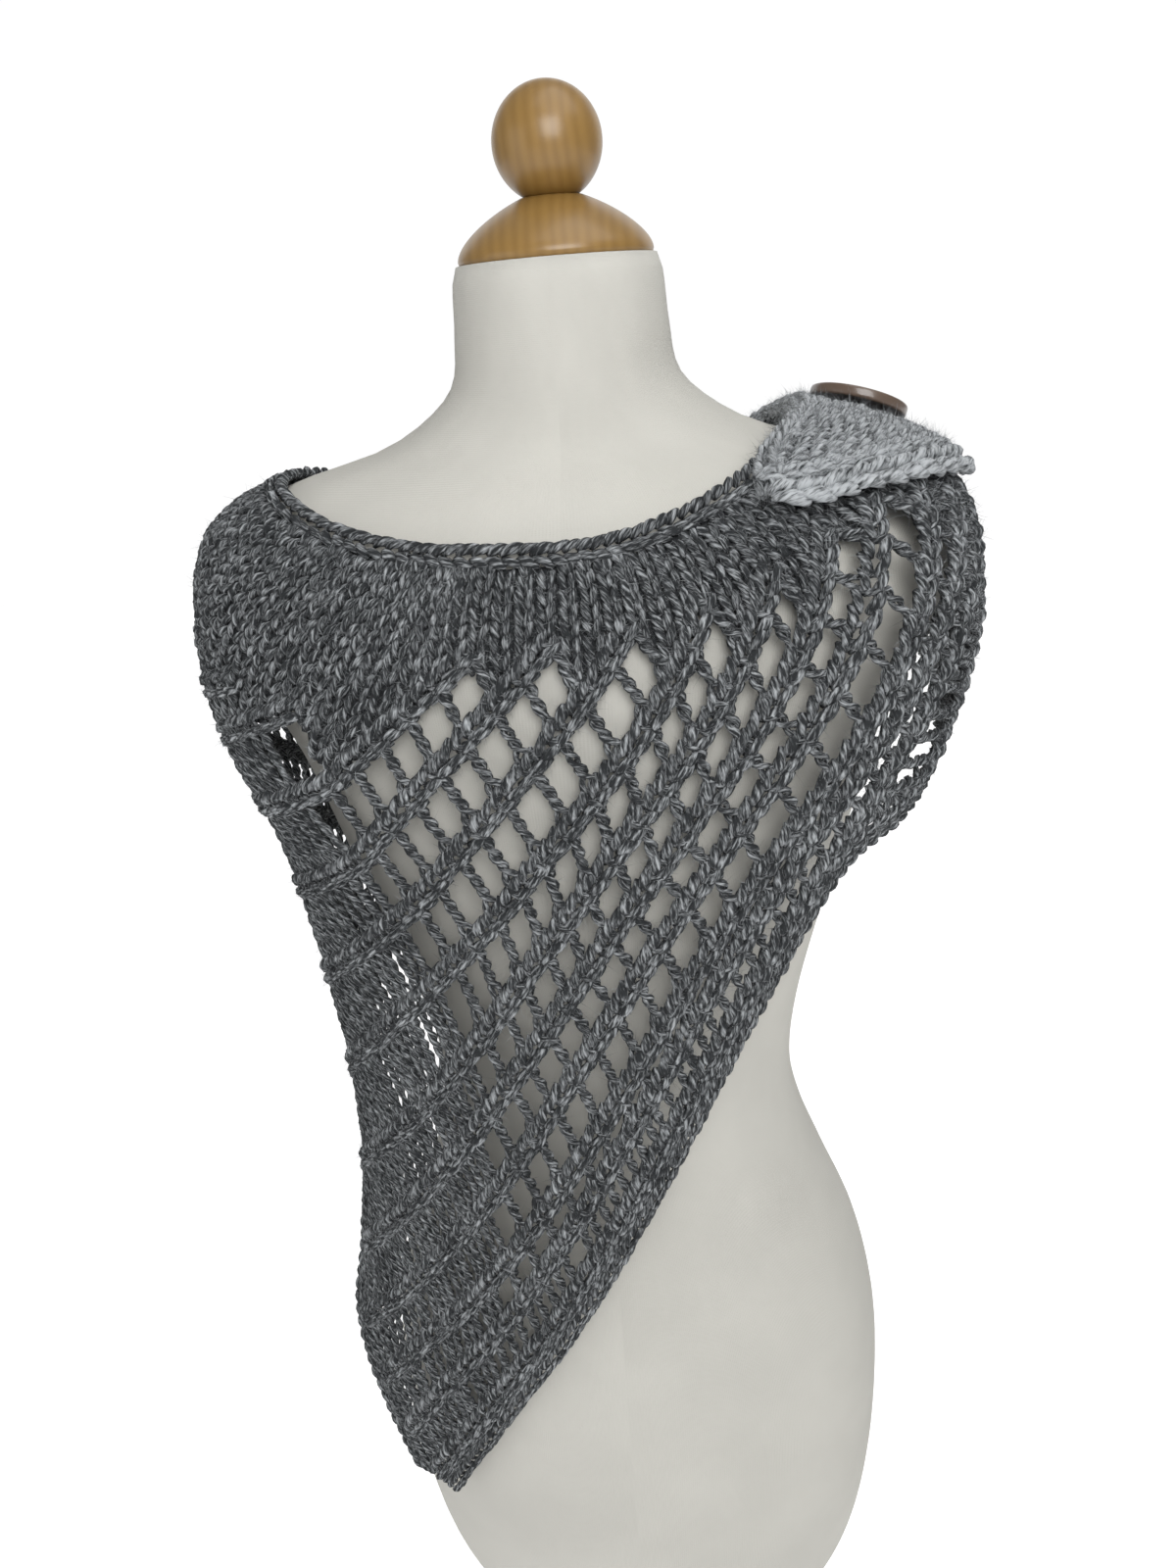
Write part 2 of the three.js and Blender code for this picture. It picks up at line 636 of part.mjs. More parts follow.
function formTorso() {
  const heights = formHeights();
  const positions = [];
  heights.forEach((height) => {
    for (let i = 0; i < FORM_SIDES; i += 1) {
      positions.push(...formSection(height, (2 * Math.PI * i) / FORM_SIDES));
    }
  });
  const bottomCentre = positions.length / 3;
  positions.push(0, 0, heights[0]);
  positions.push(0, NECK_CENTRE_FORWARD, heights.at(-1));
  const faces = [];
  for (let r = 0; r + 1 < heights.length; r += 1) {
    for (let i = 0; i < FORM_SIDES; i += 1) {
      const a = r * FORM_SIDES + i;
      const b = r * FORM_SIDES + ((i + 1) % FORM_SIDES);
      faces.push(a, b, b + FORM_SIDES, a, b + FORM_SIDES, a + FORM_SIDES);
    }
  }
  const topRow = (heights.length - 1) * FORM_SIDES;
  for (let i = 0; i < FORM_SIDES; i += 1) {
    const next = (i + 1) % FORM_SIDES;
    faces.push(bottomCentre, next, i);
    faces.push(bottomCentre + 1, topRow + i, topRow + next);
  }
  const geometry = new THREE.BufferGeometry();
  geometry.setAttribute('position', new THREE.Float32BufferAttribute(positions, 3));
  geometry.setIndex(faces);
  geometry.computeVertexNormals();
  return geometry;
}

const LATHE_SIDES = 24;
function turned(profile) {
  const outline = profile.map(([x, y]) => new THREE.Vector2(x, y));
  return new THREE.LatheGeometry(outline, LATHE_SIDES).rotateX(Math.PI / 2);
}

// Low domed neck cap
function capProfile() {
  const profile = [[0, 0], [CAP_RADIUS - CAP_EDGE, 0], [CAP_RADIUS, CAP_EDGE]];
  const domeSteps = 6;
  for (let i = 1; i <= domeSteps; i += 1) {
    const angle = (Math.PI / 2) * (i / (domeSteps + 1));
    profile.push([
      mix(CAP_TOP_RADIUS, CAP_RADIUS, Math.cos(angle)),
      CAP_EDGE + (CAP_HEIGHT - CAP_EDGE) * mix(1 - Math.cos(angle), Math.sin(angle), CAP_FULLNESS),
    ]);
  }
  profile.push([CAP_TOP_RADIUS, CAP_HEIGHT], [0, CAP_HEIGHT]);
  return profile;
}

// Ball with a flat seat on the cap
function ballProfile() {
  const start = Math.asin(BALL_SEAT / BALL_RADIUS);
  const steps = 12;
  const low = BALL_RADIUS * Math.cos(start);
  const profile = [[0, 0]];
  for (let i = 0; i < steps; i += 1) {
    const angle = mix(start, Math.PI, i / steps);
    profile.push([BALL_RADIUS * Math.sin(angle), low - BALL_RADIUS * Math.cos(angle)]);
  }
  profile.push([0, low + BALL_RADIUS]);
  return profile;
}

function buttonProfile() {
  const edge = BUTTON_THICK / 2;
  return [
    [0, -edge],
    [BUTTON_RADIUS - BUTTON_ROUNDING, -edge],
    [BUTTON_RADIUS, -edge + BUTTON_ROUNDING],
    [BUTTON_RADIUS, edge - BUTTON_ROUNDING],
    [BUTTON_RADIUS - BUTTON_ROUNDING, edge],
    [BUTTON_RADIUS - BUTTON_RIM, edge],
    [BUTTON_RADIUS - BUTTON_RIM - BUTTON_DISH, edge - BUTTON_DISH],
    [0, edge - BUTTON_DISH],
  ];
}

const shawl = new THREE.Group();
const addPiece = (name, geometry, colour) => {
  const mesh = new THREE.Mesh(geometry, material(colour));
  mesh.name = name;
  shawl.add(mesh);
  return mesh;
};

addPiece('form_torso', formTorso(), 'form');
const neckTopHeight = FORM_SECTIONS.at(-1).height;
addPiece('neck_cap', turned(capProfile()), 'wood').position.set(0, NECK_CENTRE_FORWARD, neckTopHeight);
addPiece('cap_ball', turned(ballProfile()), 'wood')
  .position.set(0, NECK_CENTRE_FORWARD, neckTopHeight + CAP_HEIGHT);

const yoke = (line) => strip(line, line.map(yokeTop), YOKE_ROWS).wall(KNIT_INNER, KNIT_OUTER);
const neckEdging = (line) =>
  strip(line.map(neckBottom), line.map(neckTop), 1).wall(NECK_EDGE_INNER, NECK_EDGE_OUTER);
addPiece('yoke_back', yoke(backYokeLine), 'yarn');
addPiece('yoke_front', yoke(frontYokeLine), 'yarn');
addPiece('lace_back', laceBack.wall(KNIT_INNER, LACE_OUTER), 'yarn');
addPiece('lace_side', laceSide.wall(KNIT_INNER, LACE_OUTER), 'yarn');
addPiece('lace_front', laceFront.wall(KNIT_INNER, LACE_OUTER), 'yarn');
addPiece('neck_edging_back', neckEdging(backYokeLine), 'yarn');
addPiece('neck_edging_front', neckEdging(frontYokeLine), 'yarn');
addPiece('hem_border_back', hemBorder(hemBack, 1).wall(KNIT_INNER, HEM_OUTER), 'yarn');
addPiece('hem_border_front', hemBorder(hemFront, -1).wall(KNIT_INNER, HEM_OUTER), 'yarn');
addPiece('shoulder_flap', strip(flapEdge(0), flapEdge(1), FLAP_ACROSS).wall(KNIT_INNER, KNIT_OUTER), 'yarn');
addPiece('flap_edging',
  strip(flapEndLine(FLAP_EDGE_WIDTH), flapEndLine(SEAM_GAP), 1).wall(KNIT_INNER, NECK_EDGE_OUTER), 'yarn');

// The button lies on the flap, square to the cloth under its centre
const buttonSeat = clothPoint(BUTTON_W, BUTTON_U, FLAP_LIFT + KNIT_OUTER + SEAM_GAP + BUTTON_THICK / 2);
const buttonUp = clothPoint(BUTTON_W, BUTTON_U, 1).sub(clothPoint(BUTTON_W, BUTTON_U, 0)).normalize();
const button = addPiece('button', turned(buttonProfile()), 'button');
button.position.copy(buttonSeat);
button.quaternion.setFromUnitVectors(new THREE.Vector3(0, 0, 1), buttonUp);

export default shawl;
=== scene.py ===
"""Hand-knitted lace shawl on a dress form: yarn, edges, form, lights and camera.

Lengths are in millimetres until a mesh is made. On the cloth, w is the distance round the body from
the centre back (positive to the right as seen from behind) and u is the height along the cloth.
"""

import math

import bpy
import numpy as np
from mathutils import Matrix, Vector


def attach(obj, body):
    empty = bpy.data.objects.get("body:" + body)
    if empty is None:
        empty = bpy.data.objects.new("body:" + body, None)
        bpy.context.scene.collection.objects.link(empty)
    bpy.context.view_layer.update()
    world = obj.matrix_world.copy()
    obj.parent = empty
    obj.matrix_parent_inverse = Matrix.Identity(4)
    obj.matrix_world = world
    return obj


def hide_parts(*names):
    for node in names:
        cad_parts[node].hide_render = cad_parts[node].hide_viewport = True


bl_info = {
    "name": "Lace shawl",
    "version": (1, 0, 0),
    "blender": (4, 5, 0),
    "location": "View3D > Sidebar > Lace shawl",
    "description": "Knits a ladder-lace shawl over a dress form",
    "category": "Add Mesh",
}

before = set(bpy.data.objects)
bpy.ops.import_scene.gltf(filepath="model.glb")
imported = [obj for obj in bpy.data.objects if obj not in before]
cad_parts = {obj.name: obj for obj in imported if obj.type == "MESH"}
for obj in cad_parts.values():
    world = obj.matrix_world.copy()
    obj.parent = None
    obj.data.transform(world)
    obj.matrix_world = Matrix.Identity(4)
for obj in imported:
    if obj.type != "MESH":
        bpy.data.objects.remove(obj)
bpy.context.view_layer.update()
MM = 0.001
SEED = 7

# The chart of the cloth
QUARTER_ROUND = 237.5
FULL_ROUND = 4 * QUARTER_ROUND
CHART_HEIGHT = 738
CHART_RING = 3.6
CHART_LOW = 150
CHART_TOP = 900
CHART_STEP = 2
NORMAL_STEP = 3
BACK_END = 300
BACK_END_HEIGHT = 800
BACK_END_LOW = 716
STRAP_END = -620
STRAP_LOW = 803
FLAP_END = FULL_ROUND + STRAP_END
FLAP_LIFT = 10
FLAP_LIFT_START = 303
SEAM_GAP = 0.3
EDGE_COLUMN = 10
HEM_LEAVES_RIB_AT = -11
HEM_GAP = 1
HEM_WIDTH = 14
NECK_EDGE_HEIGHT = 12

GROUND_INNER = -2.1
GROUND_OUTER = -1.1
GROUND_CELL = 3.0


def table(columns, rows):
    return [dict(zip(columns, row)) for row in rows]


FORM_SECTIONS = table(
    ["height", "half_width", "back", "front", "forward", "square"],
    [
        [0, 78, 58, 52, 0, 2.1],
        [8, 94, 70, 64, 0, 2.15],
        [30, 116, 86, 78, 0, 2.2],
        [62, 137, 100, 90, 0, 2.2],
        [105, 152, 110, 98, 0, 2.25],
        [160, 161, 116, 102, 0, 2.3],
        [225, 165, 119, 103, 0, 2.3],
        [290, 163, 118, 102, 0, 2.3],
        [345, 152, 111, 99, 0, 2.25],
        [395, 133, 100, 95, 0, 2.2],
        [440, 117, 91, 90, 0, 2.15],
        [480, 110, 87, 88, 0, 2.1],
        [530, 115, 89, 93, 0, 2.15],
        [600, 132, 99, 112, 0, 2.25],
        [662, 149, 105, 128, 0, 2.35],
        [705, 162, 107, 127, 0, 2.35],
        [745, 181, 105, 112, 0, 2.3],
        [782, 197, 97, 91, 0, 2.25],
        [808, 199, 88, 75, 0, 2.2],
        [826, 190, 78, 62, 1, 2.15],
        [841, 170, 67, 52, 4, 2.1],
        [851, 142, 59, 48, 8, 2.05],
        [860, 106, 55, 48, 12, 2],
        [872, 81, 56, 54, 16, 2],
        [890, 61, 56, 56, 17, 2],
        [915, 56, 55, 55, 17, 2],
        [940, 54, 54, 54, 17, 2],
        [948, 51.5, 51.5, 51.5, 17, 2],
    ],
)

CLOTH_RINGS = table(
    ["left", "left_z", "right", "right_z", "back", "back_z", "front", "front_z", "square"],
    [
        [150, 852, 116, 864, 86, 823, 82, 818, 2.25],
        [178, 843, 158, 852, 95, 803, 91, 794, 2.25],
        [199, 824, 191, 834, 103, 780, 106, 764, 2.3],
        [208, 794, 208, 802, 109, 754, 123, 732, 2.35],
        [209, 755, 210, 760, 113, 720, 133, 698, 2.4],
        [201, 714, 200, 715, 115, 688, 135, 672, 2.4],
        [184, 670, 184, 670, 116, 650, 134, 640, 2.4],
        [175, 622, 170, 620, 116, 610, 130, 602, 2.4],
        [168, 565, 160, 560, 117, 560, 126, 560, 2.4],
        [164, 505, 156, 505, 119, 505, 122, 505, 2.35],
        [167, 430, 158, 430, 121, 430, 118, 430, 2.35],
        [178, 370, 164, 370, 122, 370, 115, 370, 2.35],
        [194, 325, 168, 325, 124, 325, 113, 325, 2.35],
        [197, 265, 170, 265, 125, 265, 112, 265, 2.35],
        [193, 200, 170, 200, 124, 200, 110, 200, 2.35],
        [186, 130, 168, 130, 121, 130, 108, 130, 2.35],
        [178, 70, 160, 70, 114, 70, 100, 70, 2.35],
    ],
)
LEFT_RISE = 2.8
RIGHT_RISE = 1.7
FRONT_RISE = 1.35
RING_STATIONS = 40
RING_SAMPLES = 240
RINGS_BETWEEN = 12

BACK_RIBS = table(
    ["top_w", "top_u", "mid_w", "mid_u", "turn_w", "turn_u", "cells", "edge_w", "edge_u"],
    [
        [-41.5, 782, -77, 745, -112, 709, 5, -315, 572],
        [-5.5, 785, -59, 723, -112, 664, 8, -285, 525],
        [30.5, 790, -36, 703, -112, 620, 11, -256, 478],
        [65.5, 796, 0, 697.5, -112, 570, 14, -229, 432],
        [100.5, 802, 0, 655.5, -112, 506, 17, -205, 388],
        [132, 808, 30, 658, -112, 455, 20, -184, 346],
        [160, 814, 56, 655, -112, 400, 22, -166, 308],
        [186, 808, 60, 612, -112, 345, 24, -149, 279],
        [213, 806, 60, 585, -112, 293, 26, -134, 249],
        [240, 802, 71, 563, -112, 240, 28, -121, 220],
    ],
)
LAST_BACK_RIB = len(BACK_RIBS) - 1
FRONT_RIBS = table(
    ["top_w", "top_u", "edge_w", "edge_u", "start"],
    [
        [-126, 744, -334, 602, 0],
        [-163, 743, -350, 633, 2],
        [-212, 743, -362, 664, 4],
        [-264, 743, -370, 695, 6],
        [-318, 744, -374, 722, 8],
        [-375, 745, -375, 745, 10],
    ],
)
RIGHT_RIBS = table(
    ["top_w", "top_u", "mid_w", "mid_u", "turn_w", "turn_u", "cells", "start"],
    [
        [268, 801, 224, 726, 186, 648, 8, -20],
        [BACK_END - 6, 800.5, 266, 740, 244, 676, 6, -21],
    ],
)
PLEAT = table(
    ["u", "w", "lift"],
    [[640, 58, 0], [700, 92, 5], [740, 114, 8], [775, 134, 8], [815, 150, 4], [838, 158, 0]],
)
PLEAT_EDGE = 6
PLEAT_CREST = 14
PLEAT_RUN = 62
FLAP = table(
    ["inner_w", "inner_u", "outer_w", "outer_u"],
    [
        [126, 836, 224, 801],
        [152, 858, 234, 801],
        [195, 872, 250, 802],
        [245, 877, 272, 803],
        [290, 873, 300, 803],
        [330, 868, 330, 803],
    ],
)


def values(rows, *names):
    return np.array([[row[name] for name in names] for row in rows], float)


def smoothstep(x):
    c = np.clip(x, 0, 1)
    return c * c * (3 - 2 * c)


def mix(a, b, t):
    return a + (b - a) * t


def unit(v):
    return v / np.maximum(np.linalg.norm(v, axis=-1, keepdims=True), 1e-9)


def smooth_row(xs, rows, x):
    """Smooth curve through the rows of a table, by row position."""
    xs = np.asarray(xs, float)
    x = np.atleast_1d(np.asarray(x, float))
    i = np.clip(np.searchsorted(xs, x, side="left") - 1, 0, len(xs) - 2)
    span = xs[i + 1] - xs[i]
    t = (x - xs[i]) / span
    before = np.maximum(np.arange(len(xs)) - 1, 0)
    after = np.minimum(np.arange(len(xs)) + 1, len(xs) - 1)
    wide = (slice(None),) + (None,) * (rows.ndim - 1)
    slopes = (rows[after] - rows[before]) / (xs[after] - xs[before])[wide]
    start = (2 * t**3 - 3 * t**2 + 1)[wide]
    lean_in = ((t**3 - 2 * t**2 + t) * span)[wide]
    lean_out = ((t**3 - t**2) * span)[wide]
    ends = start * rows[i] + (1 - start) * rows[i + 1]
    return ends + lean_in * slopes[i] + lean_out * slopes[i + 1]


class Cloth:
    """The worn cloth: carries chart places onto the body."""

    def __init__(self):
        coarse = np.array([self.ring(row) for row in CLOTH_RINGS])
        rows = np.arange(len(CLOTH_RINGS), dtype=float)
        fine = np.arange((len(CLOTH_RINGS) - 1) * RINGS_BETWEEN + 1) / RINGS_BETWEEN
        points = smooth_row(rows, coarse, fine)
        steps = np.linalg.norm(np.diff(points, axis=0), axis=2)
        down = np.vstack([np.zeros(points.shape[1]), np.cumsum(steps, axis=0)])
        heights = CHART_HEIGHT + down[round(CHART_RING * RINGS_BETWEEN)] - down
        self.levels = np.arange(CHART_LOW, CHART_TOP + CHART_STEP, CHART_STEP, dtype=float)
        self.grid = np.empty((points.shape[1], len(self.levels), 3))
        for station in range(points.shape[1]):
            for axis in range(3):
                self.grid[station, :, axis] = np.interp(
                    self.levels, heights[::-1, station], points[::-1, station, axis]
                )
        self.tops = heights[0]

    @staticmethod
    def quarter(side, high, deep, deep_high, square, rise, from_side):
        angle = np.linspace(0, math.pi / 2, RING_SAMPLES + 1)
        sideways = np.cos(angle) if from_side else np.sin(angle)
        deepways = np.sin(angle) if from_side else np.cos(angle)
        across = side * np.abs(sideways) ** (2 / square)
        back = deep * np.abs(deepways) ** (2 / square)
        up = deep_high + (high - deep_high) * np.abs(sideways) ** rise
        return resampled(np.stack([across, back, up], axis=1), RING_STATIONS)

    def ring(self, r):
        square = r["square"]
        left = (-r["left"], r["left_z"])
        right = (r["right"], r["right_z"])
        back = (-r["back"], r["back_z"], square)
        front = (r["front"], r["front_z"], square)
        quarters = [
            self.quarter(*left, *front, FRONT_RISE, False),
            self.quarter(*left, *back, LEFT_RISE, True),
            self.quarter(*right, *back, RIGHT_RISE, False),
            self.quarter(*right, *front, FRONT_RISE, True),
        ]
        return np.vstack([q[:-1] for q in quarters[:3]] + [quarters[3]])

    def station(self, w):
        place = np.mod(w + 2 * QUARTER_ROUND, FULL_ROUND) / FULL_ROUND * (len(self.tops) - 1)
        k = np.minimum(place.astype(int), len(self.tops) - 2)
        return k, place - k

    def neckline(self, w):
        k, t = self.station(np.asarray(w, float))
        return mix(self.tops[k], self.tops[k + 1], t)

    def bare(self, w, u):
        k, t = self.station(w)
        level = np.clip((u - CHART_LOW) / CHART_STEP, 0, len(self.levels) - 1.001)
        j = level.astype(int)
        s = (level - j)[..., None]
        t = t[..., None]
        low = mix(self.grid[k, j], self.grid[k + 1, j], t)
        high = mix(self.grid[k, j + 1], self.grid[k + 1, j + 1], t)
        return mix(low, high, s)

    def pleat(self, w, u):
        heights = values(PLEAT, "u")[:, 0]
        rows = smooth_row(heights, values(PLEAT, "w", "lift"), u.ravel()).reshape(u.shape + (2,))
        past = w - rows[..., 0]
        rise = smoothstep((past + PLEAT_EDGE) / (2 * PLEAT_EDGE))
        fall = 1 - smoothstep((past - PLEAT_CREST) / PLEAT_RUN)
        within = (u > heights[0]) & (u < heights[-1])
        return np.where(within, np.maximum(0, rows[..., 1]) * rise * fall, 0)

    def worn(self, w, u, h):
        """Place and outward direction of points on the worn cloth, h off its middle."""
        top = np.minimum(u, self.neckline(w))
        across = self.bare(w + NORMAL_STEP, top) - self.bare(w - NORMAL_STEP, top)
        upper = np.minimum(top + NORMAL_STEP, self.neckline(w))
        up = self.bare(w, upper) - self.bare(w, upper - 2 * NORMAL_STEP)
        normal = unit(np.cross(across, up))
        place = self.bare(w, top) + normal * (h + self.pleat(w, u))[..., None]
        return place + np.array([0, 0, 1]) * np.maximum(u - top, 0)[..., None], normal


def resampled(points, count):
    """The same line with its points evenly spaced."""
    steps = np.linalg.norm(np.diff(points, axis=0), axis=1)
    along = np.concatenate([[0], np.cumsum(steps)])
    target = np.linspace(0, along[-1], count + 1)
    return np.stack([np.interp(target, along, points[:, c]) for c in range(points.shape[1])], axis=1)


def length_of(line):
    return np.linalg.norm(np.diff(line, axis=0), axis=1).sum()


# Ribs of the lace on the chart


def bent(rib):
    top = np.array([rib["top_w"], rib["top_u"]], float)
    turn = np.array([rib["turn_w"], rib["turn_u"]], float)
    control = 2 * np.array([rib["mid_w"], rib["mid_u"]]) - (top + turn) / 2
    t = np.linspace(0, 1, RING_SAMPLES)[:, None]
    return resampled((1 - t) ** 2 * top + 2 * t * (1 - t) * control + t**2 * turn, rib["cells"])


def straight(start, rib, cells):
    end = np.array([rib["edge_w"], rib["edge_u"]], float)
    return mix(np.asarray(start, float), end, np.linspace(0, 1, cells + 1)[:, None])


def lay_ribs():
    ribs = {}
    for k, rib in enumerate(BACK_RIBS):
        left = straight((rib["turn_w"], rib["turn_u"]), rib, EDGE_COLUMN - k)
        ribs[k] = (k - rib["cells"], np.vstack([bent(rib), left[1:]]))
    for i, rib in enumerate(FRONT_RIBS):
        cells = EDGE_COLUMN - rib["start"]
        nodes = straight((rib["top_w"], rib["top_u"]), rib, max(1, cells))[: cells + 1]
        ribs[-1 - i] = (rib["start"], nodes)
    for i, rib in enumerate(RIGHT_RIBS):
        ribs[LAST_BACK_RIB + 1 + i] = (rib["start"], bent(rib))
    return ribs


RIBS = lay_ribs()
FIRST_RIB = min(RIBS)
LAST_RIB = max(RIBS)


def node(k, column):
    start, nodes = RIBS[k]
    return nodes[column - start]


def first_column(k):
    return RIBS[k][0]


def last_column(k):
    start, nodes = RIBS[k]
    return start + len(nodes) - 1


def inside(outline, w, u):
    """True for the chart places within a closed outline."""
    hits = np.zeros(np.shape(w), bool)
    for a, b in zip(outline, np.roll(outline, -1, axis=0)):
        if a[1] == b[1]:
            continue
        between = (a[1] > u) != (b[1] > u)
        crossing = a[0] + (u - a[1]) * (b[0] - a[0]) / (b[1] - a[1])
        hits ^= between & (w < crossing)
    return hits


# Meshes


class Piece:
    """Gathers closed yarn lengths and walls, then makes one mesh of them."""

    def __init__(self):
        self.verts = []
        self.loops = []
        self.sizes = []
        self.uvs = []
        self.count = 0
        self.skins = []

    def add(self, verts, polygons, uvs):
        """polygons is an array with a row of corners for each face, uvs has a pair for each corner."""
        self.verts.append(verts.reshape(-1, 3))
        for corners, uv in zip(polygons, uvs):
            self.loops.append((corners + self.count).ravel())
            self.sizes.append(np.full(len(corners), corners.shape[1]))
            self.uvs.append(uv.reshape(-1, 2))
        self.count += verts.reshape(-1, 3).shape[0]

    def make(self, name, material, slot, replaced=()):
        verts = np.vstack(self.verts) * MM
        loops = np.concatenate(self.loops)
        sizes = np.concatenate(self.sizes)
        mesh = bpy.data.meshes.new(name)
        mesh.vertices.add(len(verts))
        mesh.vertices.foreach_set("co", verts.astype(np.float32).ravel())
        mesh.loops.add(len(loops))
        mesh.loops.foreach_set("vertex_index", loops.astype(np.int32))
        mesh.polygons.add(len(sizes))
        starts = np.concatenate([[0], np.cumsum(sizes)[:-1]])
        mesh.polygons.foreach_set("loop_start", starts.astype(np.int32))
        mesh.polygons.foreach_set("use_smooth", np.ones(len(sizes), bool))
        layer = mesh.uv_layers.new(name="UVMap")
        layer.data.foreach_set("uv", np.vstack(self.uvs).astype(np.float32).ravel())
        mesh.update(calc_edges=True)
        mesh.validate()
        mesh.materials.append(material)
        piece = bpy.data.objects.new(name, mesh)
        bpy.context.scene.collection.objects.link(piece)
        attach(piece, "root")
        if replaced:
            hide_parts(*replaced)
        return piece


LOBE_DEPTH = 0.17
UV_LENGTH = 10
SIDES = 8


def corner_places(u_low, u_high, v_low, v_high):
    """Surface places of the four corners of each quad in a grid."""
    corners = ((u_low, v_low), (u_high, v_low), (u_high, v_high), (u_low, v_high))
    return np.stack([np.stack(corner, -1) for corner in corners], -2)


def add_yarn(piece, places, normals, radii, plies, draw, sides=SIDES):
    """Adds yarn lengths whose centre lines are places[length, ring]. A two-ply yarn has two lobes."""
    lengths, rings = places.shape[:2]
    along = unit(np.gradient(places, axis=1))
    side = unit(np.cross(along, normals))
    up = np.cross(side, along)
    steps = np.linalg.norm(np.diff(places, axis=1), axis=2)
    run = np.concatenate([np.zeros((lengths, 1)), np.cumsum(steps, axis=1)], axis=1)
    run = run + draw.uniform(0, 500, (lengths, 1))
    angle = 2 * math.pi * np.arange(sides) / sides
    turn = 2 * math.pi * run[..., None] / YARN.ply_pitch
    lobes = 1 + LOBE_DEPTH * plies * np.cos(2 * angle - turn)
    spread = radii[..., None] * lobes
    ring = (
        side[..., None, :] * (spread * np.cos(angle))[..., None]
        + up[..., None, :] * (spread * np.sin(angle))[..., None]
    )
    verts = places[..., None, :] + ring
    base = (np.arange(lengths) * rings)[:, None, None]
    n = np.arange(rings - 1)[None, :, None]
    k = np.arange(sides)[None, None, :]
    k_next = (k + 1) % sides
    here = (base + n) * sides
    there = (base + n + 1) * sides
    quads = np.stack([here + k, there + k, there + k_next, here + k_next], axis=-1).reshape(-1, 4)
    u_here = np.broadcast_to((run[:, :-1] / UV_LENGTH)[..., None], (lengths, rings - 1, sides))
    u_there = np.broadcast_to((run[:, 1:] / UV_LENGTH)[..., None], (lengths, rings - 1, sides))
    v_here = np.broadcast_to(k / sides, u_here.shape)
    v_next = v_here + 1 / sides
    quad_uv = corner_places(u_here, u_there, v_here, v_next)
    first = (np.arange(lengths) * rings * sides)[:, None] + np.arange(sides)
    last = first[:, ::-1] + (rings - 1) * sides
    cap_v = np.broadcast_to(np.arange(sides) / sides, (lengths, sides))
    first_uv = np.stack([np.broadcast_to(run[:, :1] / UV_LENGTH, (lengths, sides)), cap_v], -1)
    last_uv = np.stack([np.broadcast_to(run[:, -1:] / UV_LENGTH, (lengths, sides)), cap_v], -1)
    piece.add(verts, [quads, first, last], [quad_uv, first_uv, last_uv])
    piece.skins.append((places.reshape(-1, 3), ring.reshape(-1, sides, 3)))


def add_leaves(piece, feet, tips, lift, radius, draw, rings=8, sides=SIDES, raised=None):
    """Half stitches: short fat lengths of yarn from foot to tip on the chart, both ends tucked in."""
    t = np.linspace(0, 1, rings)
    path = mix(feet[:, None, :], tips[:, None, :], t[:, None])
    bulge = np.sin(math.pi * t)
    height = lift - YARN.tuck + (YARN.tuck + YARN.crown) * bulge
    height = np.broadcast_to(height, path.shape[:2]) + (0 if raised is None else raised[:, None])
    places, normals = CLOTH.worn(path[..., 0], path[..., 1], height)
    uneven = draw.uniform(1 - YARN.uneven, 1 + YARN.uneven, (len(feet), 1))
    size = radius * mix(YARN.end_size, 1, bulge) * uneven
    add_yarn(piece, places, normals, size, 1.0, draw, sides)


def add_stitches(piece, centres, along, width, tall, lift, radius, draw, sides=SIDES, rings=8, raised=None):
    """Knit stitches: each is a V, open in the direction of along."""
    along = unit(along)
    across = np.stack([along[:, 1], -along[:, 0]], axis=1)
    for hand in (-1, 1):
        shake = draw.normal(0, YARN.shake, (4, len(centres), 1))
        foot_out = hand * width * YARN.foot_out + shake[1]
        tip_out = hand * width * YARN.tip_out + shake[3]
        feet = centres - along * (tall * YARN.foot_back + shake[0]) + across * foot_out
        tips = centres + along * (tall * YARN.tip_ahead + shake[2]) + across * tip_out
        add_leaves(piece, feet, tips, lift, radius, draw, rings, sides, raised)


def column_of_stitches(line, tall):
    """Places and directions of the stitches of one column that follows a line."""
    count = max(2, round(length_of(line) / tall))
    points = resampled(line, 2 * count)
    centres = points[1::2]
    along = points[2::2] - points[:-2:2]
    return centres, along


